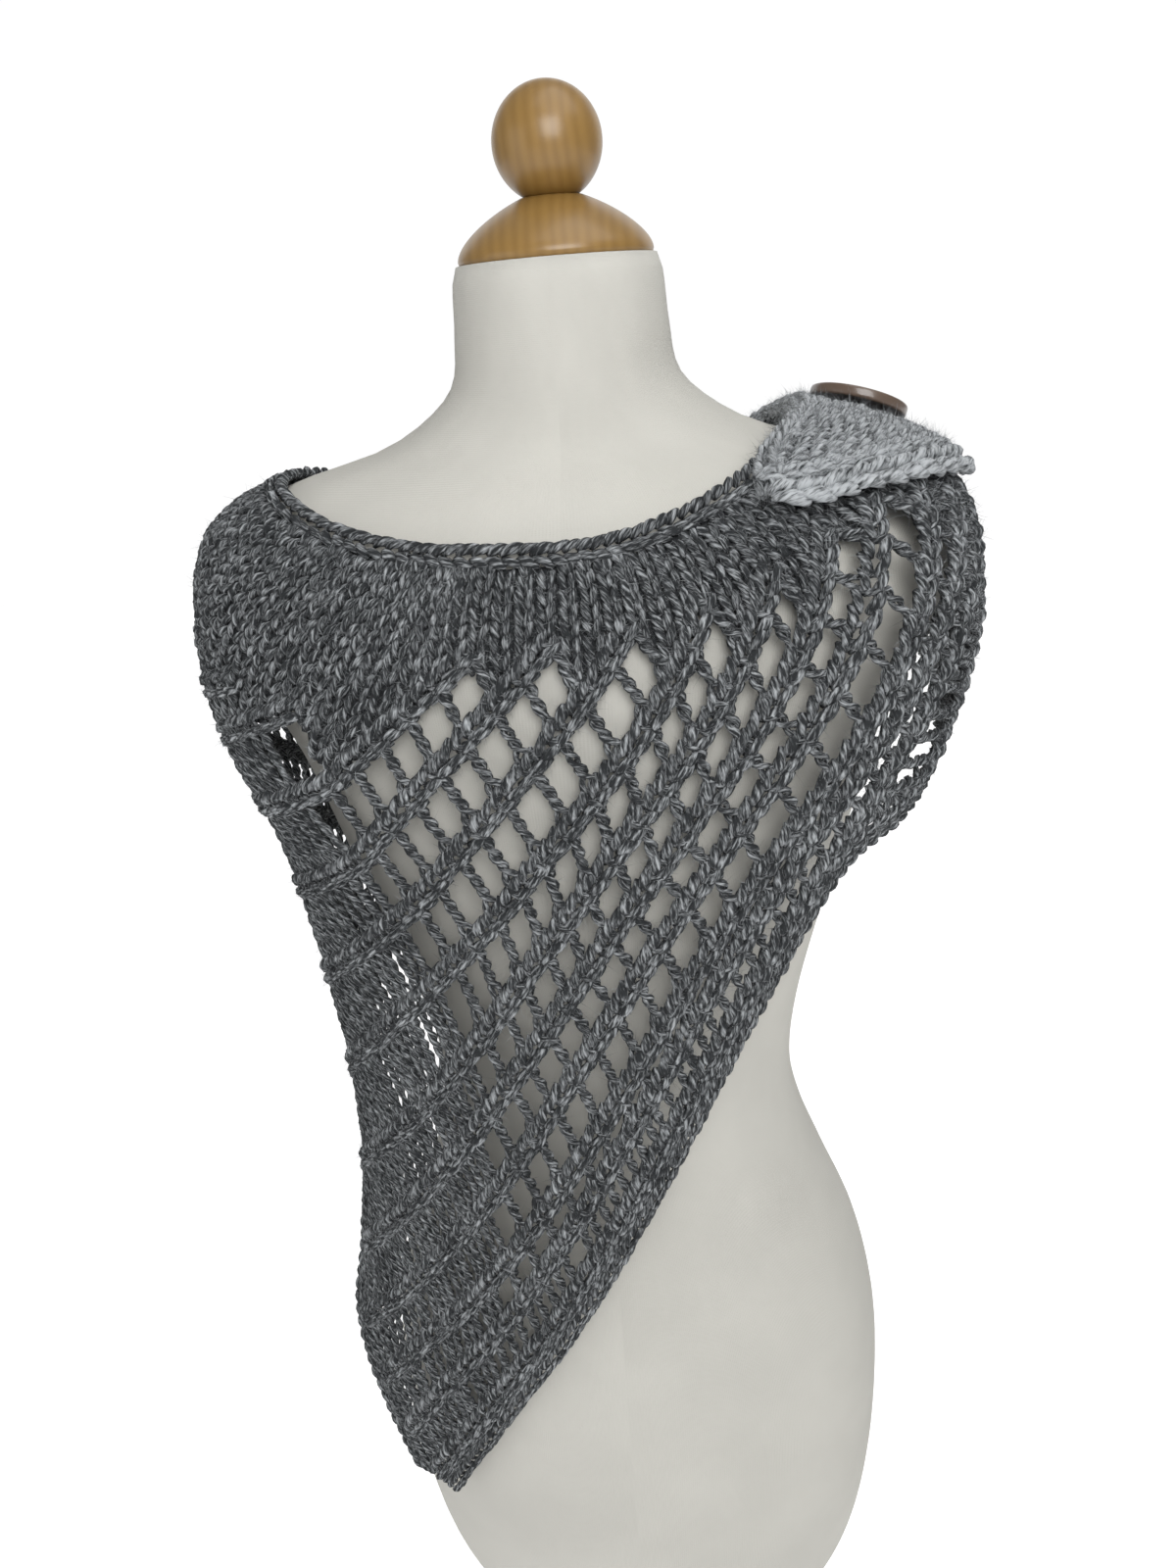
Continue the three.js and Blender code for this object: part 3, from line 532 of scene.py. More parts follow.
def add_strand_pairs(piece, starts, ends, slim, draw, sides=7, rings=22):
    """Bars of the lace: two strands wound round each other that part where they join the rib below."""
    slim = slim[:, None]
    t = np.linspace(0, 1, rings)
    reach = ends - starts
    run = np.linalg.norm(reach, axis=1)
    across = unit(np.stack([reach[:, 1], -reach[:, 0]], axis=1))
    path = mix(starts[:, None, :], ends[:, None, :], t[:, None])
    sway = draw.normal(0, BARS.sway, (len(starts), 1)) * np.sin(math.pi * t)
    turns = np.maximum(1, np.round(run / BARS.pitch * 2) / 2)[:, None]
    phase = 2 * math.pi * turns * t + draw.uniform(-BARS.phase, BARS.phase, (len(starts), 1))
    part = smoothstep((t - BARS.part_from) / (1 - BARS.part_from)) * BARS.part
    part = part + smoothstep((BARS.join - t) / BARS.join) * BARS.open_top
    wound = 1 - smoothstep((t - BARS.part_from) / (1 - BARS.part_from))
    for hand in (-1, 1):
        sideways = hand * (np.cos(phase) * BARS.offset * wound + part) * slim + sway
        height = BARS.lift + hand * np.sin(phase) * BARS.offset * wound * slim
        spot = path + across[:, None, :] * sideways[..., None]
        places, normals = CLOTH.worn(spot[..., 0], spot[..., 1], height)
        uneven = draw.uniform(1 - BARS.uneven, 1 + BARS.uneven, (len(starts), 1))
        size = np.full(places.shape[:2], BARS.radius) * slim * uneven
        add_yarn(piece, places, normals, size, 1.0, draw, sides)


def add_ground(piece, outline, lift=lambda w: 0):
    """Thin wall of knitting behind the stitches, within an outline on the chart. Its callers give it yarn
    darkened as painted shade between the stitches.
    """
    outline = np.asarray(outline, float)
    low = outline.min(axis=0)
    high = outline.max(axis=0)
    w = np.arange(low[0], high[0] + GROUND_CELL, GROUND_CELL)
    u = np.arange(low[1], high[1] + GROUND_CELL, GROUND_CELL)
    centre_w, centre_u = np.meshgrid(w[:-1] + GROUND_CELL / 2, u[:-1] + GROUND_CELL / 2, indexing="ij")
    kept = inside(outline, centre_w, centre_u)
    grid_w, grid_u = np.meshgrid(w, u, indexing="ij")
    across = len(u)
    i, j = np.nonzero(kept)
    corner = i * across + j
    front = np.stack([corner, corner + across, corner + across + 1, corner + 1], axis=1)
    edges = np.stack([front, np.roll(front, -1, axis=1)], axis=-1).reshape(-1, 2)
    codes = edges[:, 0] * (across * len(w)) + edges[:, 1]
    back_codes = edges[:, 1] * (across * len(w)) + edges[:, 0]
    rim = edges[~np.isin(codes, back_codes)]
    used, faces = np.unique(np.concatenate([front.ravel(), rim.ravel()]), return_inverse=True)
    front = faces[: front.size].reshape(-1, 4)
    rim = faces[front.size :].reshape(-1, 2)
    flat_w = grid_w.ravel()[used]
    flat_u = grid_u.ravel()[used]
    outer, _ = CLOTH.worn(flat_w, flat_u, GROUND_OUTER + lift(flat_w))
    inner, _ = CLOTH.worn(flat_w, flat_u, GROUND_INNER + lift(flat_w))
    total = len(used)
    walls = np.stack([rim[:, 0], rim[:, 0] + total, rim[:, 1] + total, rim[:, 1]], axis=1)
    quads = np.vstack([front, front[:, ::-1] + total, walls])
    chart = np.stack([flat_w, flat_u], axis=1) / UV_LENGTH
    uv = np.vstack([chart, chart])[quads]
    piece.add(np.vstack([outer, inner]), [quads], [uv])
    return kept.sum() * GROUND_CELL**2


def add_fuzz(target, piece, count, draw):
    """Loose fibres: thin slivers that stand off the yarn at random."""
    centres = np.vstack([c for c, _ in piece.skins])
    rings = np.vstack([r for _, r in piece.skins if r.shape[1] == piece.skins[0][1].shape[1]])
    pick = draw.integers(0, len(rings), count)
    turn = draw.integers(0, rings.shape[1], count)
    out = unit(rings[pick, turn])
    root = centres[pick] + rings[pick, turn] * FUZZ.root
    lean = draw.normal(0, FUZZ.lean, (count, 3))
    length = draw.gamma(FUZZ.variety, FUZZ.length / FUZZ.variety, (count, 1))
    length = np.minimum(length, FUZZ.longest)
    tip = root + unit(out + lean) * length
    side = unit(np.cross(tip - root, draw.normal(0, 1, (count, 3)))) * FUZZ.width
    verts = np.stack([root - side, root + side, tip], axis=1)
    corners = np.arange(count * 3).reshape(-1, 3)
    uv = np.repeat(draw.uniform(0, 50, (count, 1, 2)), 3, axis=1)
    target.add(verts, [corners], [uv])


# Settings that a user would change


class ShawlYarn(bpy.types.PropertyGroup):
    """The yarn and the stitches of the plain knitting and the ribs."""

    light: bpy.props.FloatVectorProperty(
        name="Light ply", description="Colour of the light fibres in the marled yarn",
        subtype="COLOR", size=3, default=(0.43, 0.45, 0.465),
    )
    dark: bpy.props.FloatVectorProperty(
        name="Dark ply", description="Colour of the dark fibres in the marled yarn",
        subtype="COLOR", size=3, default=(0.022, 0.024, 0.026),
    )
    radius: bpy.props.FloatProperty(
        name="Yarn radius", description="Half the thickness of the yarn in plain knitting",
        subtype="DISTANCE", unit="LENGTH", default=0.00215,
    )
    stitch_width: bpy.props.FloatProperty(
        name="Stitch width", description="Width of one column of knit stitches",
        subtype="DISTANCE", unit="LENGTH", default=0.0105,
    )
    stitch_height: bpy.props.FloatProperty(
        name="Stitch height", description="Height of one row of knit stitches",
        subtype="DISTANCE", unit="LENGTH", default=0.0076,
    )


class ShawlForm(bpy.types.PropertyGroup):
    """The finishes of the dress form and the button; the button's lighter rim is a painted highlight."""

    jersey: bpy.props.FloatVectorProperty(
        name="Jersey", description="Colour of the dress form's jersey cover",
        subtype="COLOR", size=3, default=(0.52, 0.51, 0.47),
    )
    wood_light: bpy.props.FloatVectorProperty(
        name="Light wood", description="Colour of the wood between its growth rings",
        subtype="COLOR", size=3, default=(0.26, 0.15, 0.04),
    )
    wood_dark: bpy.props.FloatVectorProperty(
        name="Dark wood", description="Colour of the wood's growth rings",
        subtype="COLOR", size=3, default=(0.20, 0.11, 0.026),
    )
    button: bpy.props.FloatVectorProperty(
        name="Button", description="Colour of the middle of the button",
        subtype="COLOR", size=3, default=(0.035, 0.022, 0.016),
    )
    # Lighter than the middle: a painted highlight along the rim, also the colour of the button's specks
    button_rim_highlight_and_specks: bpy.props.FloatVectorProperty(
        name="Button rim", description="Colour of the button's rim",
        subtype="COLOR", size=3, default=(0.11, 0.075, 0.055),
    )


class ShawlStage(bpy.types.PropertyGroup):
    """The light and the camera."""

    camera_place: bpy.props.FloatVectorProperty(
        name="Camera place", description="Where the camera stands",
        subtype="TRANSLATION", unit="LENGTH", size=3, default=(0.0570, -0.6375, 0.921),
    )
    lens: bpy.props.FloatProperty(
        name="Lens", description="Focal length in millimetres on a sensor 36 mm high", default=27,
    )
    key_power: bpy.props.FloatProperty(
        name="Main light", description="Power of the main soft light", subtype="POWER", default=18,
    )
    fill_power: bpy.props.FloatProperty(
        name="Fill light", description="Power of the soft light from the left", subtype="POWER", default=4,
    )
    top_power: bpy.props.FloatProperty(
        name="Top light", description="Power of the soft light overhead", subtype="POWER", default=8,
    )
    sky: bpy.props.FloatProperty(name="Surroundings", description="Brightness all round", default=0.28)


class YarnSizes:
    """Sizes of the yarn in millimetres, and parts of a stitch's width, height and radius."""

    ply_pitch = 15.0
    tuck = 2.2
    crown = 0.5
    end_size = 0.62
    uneven = 0.07
    shake = 0.35
    foot_back = 0.62
    foot_out = 0.1
    tip_ahead = 0.72
    tip_out = 0.37
    stagger = 1.0
    row_shake = 0.3
    swell = 0.25
    radius = 2.15
    stitch_width = 10.5
    stitch_height = 7.6


class BarSizes:
    """Sizes of the twisted bars in millimetres."""

    radius = 1.8
    offset = 1.65
    pitch = 14.0
    lift = 0.9
    sway = 0.9
    part = 4.4
    part_from = 0.56
    open_top = 2.8
    join = 0.24
    room = 13.0
    slimmest = 0.8
    phase = 0.4
    uneven = 0.1


class FuzzSizes:
    """Sizes of the loose fibres in millimetres, their depth in the yarn and how much they vary."""

    length = 5.0
    longest = 8.5
    width = 0.085
    root = 0.9
    lean = 0.75
    variety = 2.2


YARN = YarnSizes()
BARS = BarSizes()
FUZZ = FuzzSizes()
CLOTH = Cloth()

RIB_WIDTH = 13.5
RIB_STITCH = 8.2
RIB_RADIUS = 2.95
RIB_LIFT = 1.6
PLAIN_LIFT = 0.2
EDGE_LIFT = 1.7
EDGE_RADIUS = 2.5
EDGE_RISE = 0.5
EDGE_STITCH = 8.6
EDGE_WIDTH = 13.5
EDGE_SMOOTHING = 6
HEM_LIFT = 1.1
HEM_COLUMNS = 2
HEM_STITCH = 7.2
HEM_STITCH_WIDTH = HEM_WIDTH / HEM_COLUMNS * 1.15
HEM_RADIUS = 2.05

# Stitch columns stand straight on the back and lean to the right at its left side
LEAN = math.radians(22)
LEAN_STARTS = -40
LEAN_FULL = -95
LEAN_FADES = -210
LEAN_GONE = -320
WALE_LEVEL = 760
WALE_SPARE = 60
ROW_SPARE = 40


def wale_lean(w):
    grows = smoothstep((LEAN_STARTS - w) / (LEAN_STARTS - LEAN_FULL))
    stays = 1 - smoothstep((LEAN_FADES - w) / (LEAN_FADES - LEAN_GONE))
    return LEAN * grows * stays


def back_yoke_outline():
    """The plain knitting of the back, down to the first rib and into the heads of the ladders."""
    line = [node(-1, first_column(-1)), *RIBS[0][1][: 1 - first_column(0)][::-1]]
    for k in range(LAST_RIB):
        start = first_column(k)
        line.extend(node(k + 1, column) for column in range(start, first_column(k + 1) - 1, -1))
    line.append((BACK_END, BACK_END_HEIGHT))
    return with_neckline(line)


def front_yoke_outline():
    line = [node(-1, first_column(-1))]
    for k in range(-2, FIRST_RIB - 1, -1):
        line.extend(node(k + 1, column) for column in range(first_column(k + 1) + 1, first_column(k) + 1))
        line.append(node(k, first_column(k)))
    strap = node(FIRST_RIB, first_column(FIRST_RIB))
    line.extend([(mix(strap[0], STRAP_END, 0.5), STRAP_LOW), (STRAP_END, STRAP_LOW)])
    return with_neckline(line)


def back_end_outlines():
    """The plain end of the back under the shoulder, and the two corners above the hem beside it."""
    end = [*RIBS[LAST_RIB][1], (BACK_END, BACK_END_LOW), (BACK_END, BACK_END_HEIGHT)]
    hem = [node(LAST_BACK_RIB, HEM_LEAVES_RIB_AT - 1), node(LAST_BACK_RIB, HEM_LEAVES_RIB_AT)]
    next_rib = LAST_BACK_RIB + 1
    foot = [node(next_rib, column) for column in range(last_column(LAST_RIB), last_column(next_rib) + 1)]
    return np.array(end), np.array([*hem, foot[-1]]), np.array([*foot, RIBS[LAST_RIB][1][-1]])


def with_neckline(line):
    """Closes a lower line with the bottom of the neck edging above it."""
    first = line[0][0]
    last = line[-1][0]
    w = np.linspace(last, first, 40)
    top = np.stack([w, CLOTH.neckline(w) - NECK_EDGE_HEIGHT + 2], axis=1)
    return np.vstack([np.array(line, float), top])


def plain_stitches(piece, outline, draw, sides=SIDES, rings=8):
    """Columns of knit stitches that fill an outline."""
    width = YARN.stitch_width
    tall = YARN.stitch_height
    low = outline.min(axis=0)
    high = outline.max(axis=0)
    base = np.arange(low[0] - WALE_SPARE, high[0] + WALE_SPARE, width)
    rise = np.arange(low[1] - WALE_LEVEL - ROW_SPARE, high[1] - WALE_LEVEL + WALE_SPARE, tall)
    at_w, at_s = np.meshgrid(base, rise, indexing="ij")
    stagger = draw.normal(0, YARN.stagger, (len(base), 1))
    at_s = at_s + stagger + draw.normal(0, YARN.row_shake, at_s.shape)
    lean = wale_lean(at_w)
    w = at_w + at_s * np.sin(lean)
    u = WALE_LEVEL + at_s * np.cos(lean)
    kept = inside(outline, w, u)
    along = np.stack([np.sin(lean), np.cos(lean)], axis=-1)[kept]
    centres = np.stack([w, u], axis=-1)[kept]
    swell = draw.normal(0, YARN.swell, len(centres))
    add_stitches(piece, centres, along, width, tall, PLAIN_LIFT, YARN.radius, draw, sides, rings, swell)


def rib_lines(first, last, low, high):
    """The lines of ribs first to last between two columns."""
    lines = [nodes_within(k, low, high) for k in range(first, last + 1)]
    return [np.array(line) for line in lines if len(line) > 1]


SOFTENING_STEPS = 6
SOFTENING_ROUNDS = 12


def softened(line):
    """A finer, rounded copy of a line of nodes."""
    fine = resampled(line, SOFTENING_STEPS * (len(line) - 1))
    for _ in range(SOFTENING_ROUNDS):
        fine[1:-1] = (fine[:-2] + 2 * fine[1:-1] + fine[2:]) / 4
    return fine


def add_ribs(piece, lines, draw, sides=SIDES, rings=8, width=RIB_WIDTH):
    for line in lines:
        centres, along = column_of_stitches(softened(line)[::-1], RIB_STITCH)
        add_stitches(piece, centres, along, width, RIB_STITCH, RIB_LIFT, RIB_RADIUS, draw, sides, rings)


SPINE = -112
PACKED_LEFT = -135
PACKED_RIGHT = 172
PACKED_SPINE = -72
PACKED_BELOW = 650


def packed(k, w, u):
    """How many more bars a cell has where the lace is gathered, at its edges and its right end."""
    if w < SPINE:
        return 2 if w < PACKED_LEFT or u < PACKED_BELOW else 1
    if w < PACKED_SPINE and u < PACKED_BELOW:
        return 2
    if w > PACKED_RIGHT:
        return 3
    return 1 if k >= LAST_BACK_RIB - 1 else 0


def bar_ends(first, last, low, high):
    """Where each bar between two ribs starts and ends, and how slim it is, by ladder and column."""
    starts = []
    ends = []
    slim = []
    for k in range(first, last + 1):
        left = max(first_column(k), low)
        right = min(last_column(k), last_column(k + 1), high)
        for column in range(left, right + 1):
            starts.append(node(k, column))
            ends.append(node(k + 1, column))
            beside = column if column < right else column - 1
            more = packed(k, *((node(k, beside) + node(k, beside + 1)) / 2))
            room = np.linalg.norm(node(k, beside + 1) - node(k, beside)) / (more + 1)
            size = min(1, max(BARS.slimmest, room / BARS.room))
            slim.append(size)
            if column == right:
                continue
            for i in range(more):
                t = (i + 1) / (more + 1)
                starts.append(mix(node(k, column), node(k, column + 1), t))
                ends.append(mix(node(k + 1, column), node(k + 1, column + 1), t))
                slim.append(size)
    return np.array(starts), np.array(ends), np.array(slim)


def nodes_within(k, low, high):
    """The nodes of a rib between two columns."""
    return [node(k, column) for column in range(max(first_column(k), low), min(last_column(k), high) + 1)]


def region(first, last, low, high):
    """Outline of the lace between two ribs and two columns."""
    upper = nodes_within(first, low, high)
    lower = nodes_within(last, low, high)
    right = [nodes_within(k, low, high)[0] for k in range(first + 1, last)]
    left = [nodes_within(k, low, high)[-1] for k in range(first + 1, last)]
    return np.array(upper + left + lower[::-1] + right[::-1])


# Materials


def new_material(name, roughness):
    material = bpy.data.materials.new(name)
    material.use_nodes = True
    shader = material.node_tree.nodes["Principled BSDF"]
    shader.inputs["Roughness"].default_value = roughness
    return material, material.node_tree, shader


def add_node(tree, kind, **inputs):
    made = tree.nodes.new(kind)
    for name, value in inputs.items():
        made.inputs[name.replace("_", " ")].default_value = value
    return made


def math_node(tree, operation, *terms):
    made = tree.nodes.new("ShaderNodeMath")
    made.operation = operation
    for socket, term in zip(made.inputs, terms):
        if isinstance(term, bpy.types.NodeSocket):
            tree.links.new(term, socket)
        else:
            socket.default_value = term
    return made.outputs[0]


def blend(tree, factor, dark, light):
    made = tree.nodes.new("ShaderNodeMix")
    made.data_type = "RGBA"
    for socket, term in ((made.inputs[0], factor), (made.inputs[6], dark), (made.inputs[7], light)):
        if isinstance(term, bpy.types.NodeSocket):
            tree.links.new(term, socket)
        else:
            socket.default_value = term
    return made.outputs[2]


def noise(tree, vector, scale, detail=2.0, roughness=0.5):
    made = add_node(tree, "ShaderNodeTexNoise", Scale=scale, Detail=detail, Roughness=roughness)
    tree.links.new(vector, made.inputs["Vector"])
    return made.outputs["Fac"]


def ramp(tree, value, low, high):
    made = add_node(tree, "ShaderNodeMapRange", From_Min=low, From_Max=high)
    made.interpolation_type = "SMOOTHSTEP"
    tree.links.new(value, made.inputs["Value"])
    return made.outputs["Result"]


def add_bump(tree, shader, height, strength, distance):
    made = add_node(tree, "ShaderNodeBump", Strength=strength, Distance=distance)
    tree.links.new(height, made.inputs["Height"])
    tree.links.new(made.outputs["Normal"], shader.inputs["Normal"])


def rgba(colour):
    return (*colour, 1.0)


class Marl:
    """How the light and dark fibres of the yarn are mixed, as rates on its surface and as shares."""

    across_run = -0.45
    across_turn = 1.06
    down_run = 0.78
    down_turn = 0.6
    streak_rates = (8, 1.7)
    fibre_rates = (40, 4)
    roughness = 0.6
    tone_scale = 45.0
    fibre_share = 0.35
    tone_share = 0.14
    dark_below = 0.66
    light_above = 1.04
    streak_height = 0.5


MARL = Marl()
BUMP_DEPTH = 0.0006
KNIT_BALANCE = 0.0
# More light fibres in the flap's yarn: partly its brushed, fuzzy surface and partly painted light, as the
# top of the shoulder is lit more strongly
BRUSHED_AND_LIT_BALANCE = 0.16
# Fewer light fibres in the yarn behind the stitches: painted shade between the stitches
BEHIND_SHADE_BALANCE = -0.1
FIBRE_BALANCE = 0.12
# Dims the light fibres of the yarn behind the stitches: painted shade
BEHIND_SHADE_DIMMING = 0.2


def yarn_group():
    """Marled yarn: streaks of light and dark fibres that wind round its length."""
    name = "marled fibres"
    if name in bpy.data.node_groups:
        return bpy.data.node_groups[name]
    tree = bpy.data.node_groups.new(name, "ShaderNodeTree")
    sockets = (("Light", "NodeSocketColor"), ("Dark", "NodeSocketColor"), ("Balance", "NodeSocketFloat"))
    for socket, kind in sockets:
        tree.interface.new_socket(socket, in_out="INPUT", socket_type=kind)
    tree.interface.new_socket("Colour", in_out="OUTPUT", socket_type="NodeSocketColor")
    tree.interface.new_socket("Height", in_out="OUTPUT", socket_type="NodeSocketFloat")
    given = tree.nodes.new("NodeGroupInput")
    result = tree.nodes.new("NodeGroupOutput")
    place = tree.nodes.new("ShaderNodeUVMap")
    split = tree.nodes.new("ShaderNodeSeparateXYZ")
    tree.links.new(place.outputs["UV"], split.inputs[0])
    along, around = split.outputs[0], split.outputs[1]

    def wound(across_rate, along_rate):
        join = tree.nodes.new("ShaderNodeCombineXYZ")
        turned_across = math_node(tree, "MULTIPLY", around, MARL.across_turn * across_rate)
        across = math_node(tree, "MULTIPLY_ADD", along, MARL.across_run * across_rate, turned_across)
        turned_down = math_node(tree, "MULTIPLY", around, MARL.down_turn * along_rate)
        down = math_node(tree, "MULTIPLY_ADD", along, MARL.down_run * along_rate, turned_down)
        tree.links.new(across, join.inputs[0])
        tree.links.new(down, join.inputs[1])
        return join.outputs[0]

    streaks = noise(tree, wound(*MARL.streak_rates), 1.0, 2.0, MARL.roughness)
    fibres = noise(tree, wound(*MARL.fibre_rates), 1.0, 1.0, MARL.roughness)
    object_place = tree.nodes.new("ShaderNodeTexCoord")
    tone = noise(tree, object_place.outputs["Object"], MARL.tone_scale, 2.0)
    mixed = math_node(tree, "MULTIPLY_ADD", fibres, MARL.fibre_share, streaks)
    mixed = math_node(tree, "MULTIPLY_ADD", tone, MARL.tone_share, mixed)
    mixed = math_node(tree, "ADD", mixed, given.outputs["Balance"])
    share = ramp(tree, mixed, MARL.dark_below, MARL.light_above)
    colour = blend(tree, share, given.outputs["Dark"], given.outputs["Light"])
    tree.links.new(colour, result.inputs["Colour"])
    height = math_node(tree, "MULTIPLY_ADD", streaks, MARL.streak_height, fibres)
    tree.links.new(height, result.inputs["Height"])
    return tree


def yarn_material(name, balance, strength, shade_dimming=1.0):
    """Yarn with a share of light fibres that grows with balance, and with bump of a given strength. The
    dimming factor darkens the light fibres as painted shade.
    """
    colours = bpy.context.scene.shawl_yarn
    light = [c * shade_dimming for c in colours.light]
    material, tree, shader = new_material(name, 0.92)
    shader.inputs["Specular IOR Level"].default_value = 0.25
    marl = tree.nodes.new("ShaderNodeGroup")
    marl.node_tree = yarn_group()
    marl.inputs["Light"].default_value = rgba(light)
    marl.inputs["Dark"].default_value = rgba(colours.dark)
    marl.inputs["Balance"].default_value = balance
    tree.links.new(marl.outputs["Colour"], shader.inputs["Base Color"])
    add_bump(tree, shader, marl.outputs["Height"], strength, BUMP_DEPTH)
    return material


def knit_material():
    return shared("marled_yarn", lambda name: yarn_material(name, KNIT_BALANCE, 0.9))


# Flap yarn, lighter partly from its brushed fibres and partly as painted light on the brightly lit shoulder
def brushed_and_lit_material():
    return shared("brushed_yarn", lambda name: yarn_material(name, BRUSHED_AND_LIT_BALANCE, 0.9))


# Yarn behind the stitches, darkened as painted shade between them
def shaded_ground_material():
    return shared("yarn_behind", lambda name: yarn_material(name, BEHIND_SHADE_BALANCE, 0.6, BEHIND_SHADE_DIMMING))


def fibre_material():
    return shared("loose_fibre", lambda name: yarn_material(name, FIBRE_BALANCE, 0.0))


def shared(name, make):
    return bpy.data.materials[name] if name in bpy.data.materials else make(name)


# Loops of the jersey in each centimetre, the depth of its bump in metres and its darker patches
JERSEY_WALES = 9
JERSEY_ROWS = 11
JERSEY_BUMP = 0.00025
JERSEY_SHADE = 0.93
# How the wood's grain is stretched and turned
WOOD_STRETCH = (60.0, 9.0, 16.0)
WOOD_TURN = (0.35, 0.2, 0.1)
WOOD_BUMP = 0.0002


def jersey_material():
    colours = bpy.context.scene.shawl_form
    material, tree, shader = new_material("jersey_cover", 0.85)
    shader.inputs["Specular IOR Level"].default_value = 0.2
    place = tree.nodes.new("ShaderNodeUVMap")
    split = tree.nodes.new("ShaderNodeSeparateXYZ")
    tree.links.new(place.outputs["UV"], split.inputs[0])
    wales = math_node(tree, "MULTIPLY", split.outputs[0], 2 * math.pi * JERSEY_WALES)
    wales = math_node(tree, "SINE", wales)
    rows = math_node(tree, "MULTIPLY", split.outputs[1], 2 * math.pi * JERSEY_ROWS)
    rows = math_node(tree, "SINE", rows)
    fuzz = noise(tree, place.outputs["UV"], 14.0, 3.0, 0.6)
    loops = math_node(tree, "MULTIPLY_ADD", wales, 0.5, math_node(tree, "MULTIPLY", rows, 0.3))
    height = math_node(tree, "MULTIPLY_ADD", fuzz, 1.6, loops)
    add_bump(tree, shader, height, 0.35, JERSEY_BUMP)
    patch = noise(tree, place.outputs["UV"], 0.12, 3.0)
    shade = [c * JERSEY_SHADE for c in colours.jersey]
    tone = blend(tree, ramp(tree, patch, 0.3, 0.7), rgba(shade), rgba(colours.jersey))
    tree.links.new(tone, shader.inputs["Base Color"])
    return material


def wood_material():
    colours = bpy.context.scene.shawl_form
    material, tree, shader = new_material("lacquered_wood", 0.38)
    shader.inputs["Coat Weight"].default_value = 0.25
    shader.inputs["Coat Roughness"].default_value = 0.25
    place = tree.nodes.new("ShaderNodeTexCoord")
    stretch = add_node(tree, "ShaderNodeMapping", Scale=WOOD_STRETCH, Rotation=WOOD_TURN)
    tree.links.new(place.outputs["Object"], stretch.inputs["Vector"])
    rings = tree.nodes.new("ShaderNodeTexWave")
    rings.inputs["Scale"].default_value = 0.9
    rings.inputs["Distortion"].default_value = 3.5
    rings.inputs["Detail"].default_value = 2.0
    tree.links.new(stretch.outputs["Vector"], rings.inputs["Vector"])
    pores = noise(tree, stretch.outputs["Vector"], 9.0, 3.0, 0.6)
    ring_share = math_node(tree, "MULTIPLY", rings.outputs["Fac"], 0.7)
    grain = math_node(tree, "MULTIPLY_ADD", pores, 0.4, ring_share)
    tone = blend(tree, ramp(tree, grain, -0.5, 1.5), rgba(colours.wood_dark), rgba(colours.wood_light))
    tree.links.new(tone, shader.inputs["Base Color"])
    add_bump(tree, shader, pores, 0.12, WOOD_BUMP)
    return material


def button_material():
    colours = bpy.context.scene.shawl_form
    material, tree, shader = new_material("button_face", 0.3)
    shader.inputs["Coat Weight"].default_value = 0.3
    place = tree.nodes.new("ShaderNodeUVMap")
    split = tree.nodes.new("ShaderNodeSeparateXYZ")
    tree.links.new(place.outputs["UV"], split.inputs[0])
    # The rim is painted lighter than the middle as a painted highlight
    rim = ramp(tree, split.outputs[0], BUTTON_RIM_FROM, BUTTON_RIM_FROM + 0.1)
    tone = blend(tree, rim, rgba(colours.button), rgba(colours.button_rim_highlight_and_specks))
    # Swirled specks, tinted with the rim's painted highlight colour
    swirl = noise(tree, place.outputs["UV"], 2.2, 3.0)
    worn_tone = blend(tree, math_node(tree, "MULTIPLY", swirl, 0.35), tone, rgba(colours.button_rim_highlight_and_specks))
    tree.links.new(worn_tone, shader.inputs["Base Color"])
    return material


# Dress form and button

FORM_SIDES = 112
FORM_ROUND = 950
TURNED_SIDES = 80
BUTTON_SIDES = 96
CORNER_SIZE = 0.8
FORM_STEP = 6
NECK_CENTRE_FORWARD = 17
CAP_RADIUS = 50
CAP_HEIGHT = 29
CAP_EDGE = 2
CAP_UNDERCUT = 0.6
CAP_TOP_RADIUS = 16
CAP_FULLNESS = 0.5
BALL_RADIUS = 27.5
BALL_SEAT = 13
BUTTON_RADIUS = 26
BUTTON_THICK = 5.5
BUTTON_RIM = 3
BUTTON_ROUNDING = 1.5
BUTTON_DISH = 1.4
BUTTON_W = 262
BUTTON_U = 843
BUTTON_RIM_FROM = (BUTTON_RADIUS - BUTTON_RIM - CORNER_SIZE) / UV_LENGTH
KNIT_OUTER = 2.4
BUTTON_SEAT = FLAP_LIFT + KNIT_OUTER + SEAM_GAP + BUTTON_THICK / 2


def form_mesh(piece):
    heights = values(FORM_SECTIONS, "height")[:, 0]
    rows = values(FORM_SECTIONS, "half_width", "back", "front", "forward", "square")
    levels = []
    for low, high in zip(heights[:-1], heights[1:]):
        levels.extend(np.linspace(low, high, max(1, round((high - low) / FORM_STEP)), endpoint=False))
    levels = np.array([*levels, heights[-1]])
    half, back, front, forward, square = smooth_row(heights, rows, levels).T[:, :, None]
    angle = 2 * math.pi * np.arange(FORM_SIDES) / FORM_SIDES
    side = np.sin(angle)
    deep = -np.cos(angle)
    reach = np.where(deep > 0, front, back)
    x = half * np.sign(side) * np.abs(side) ** (2 / square)
    y = forward + reach * np.sign(deep) * np.abs(deep) ** (2 / square)
    verts = np.stack([x, y, np.broadcast_to(levels[:, None], x.shape)], axis=-1)
    add_turned(piece, verts, np.linspace(0, FORM_ROUND, FORM_SIDES + 1), levels)


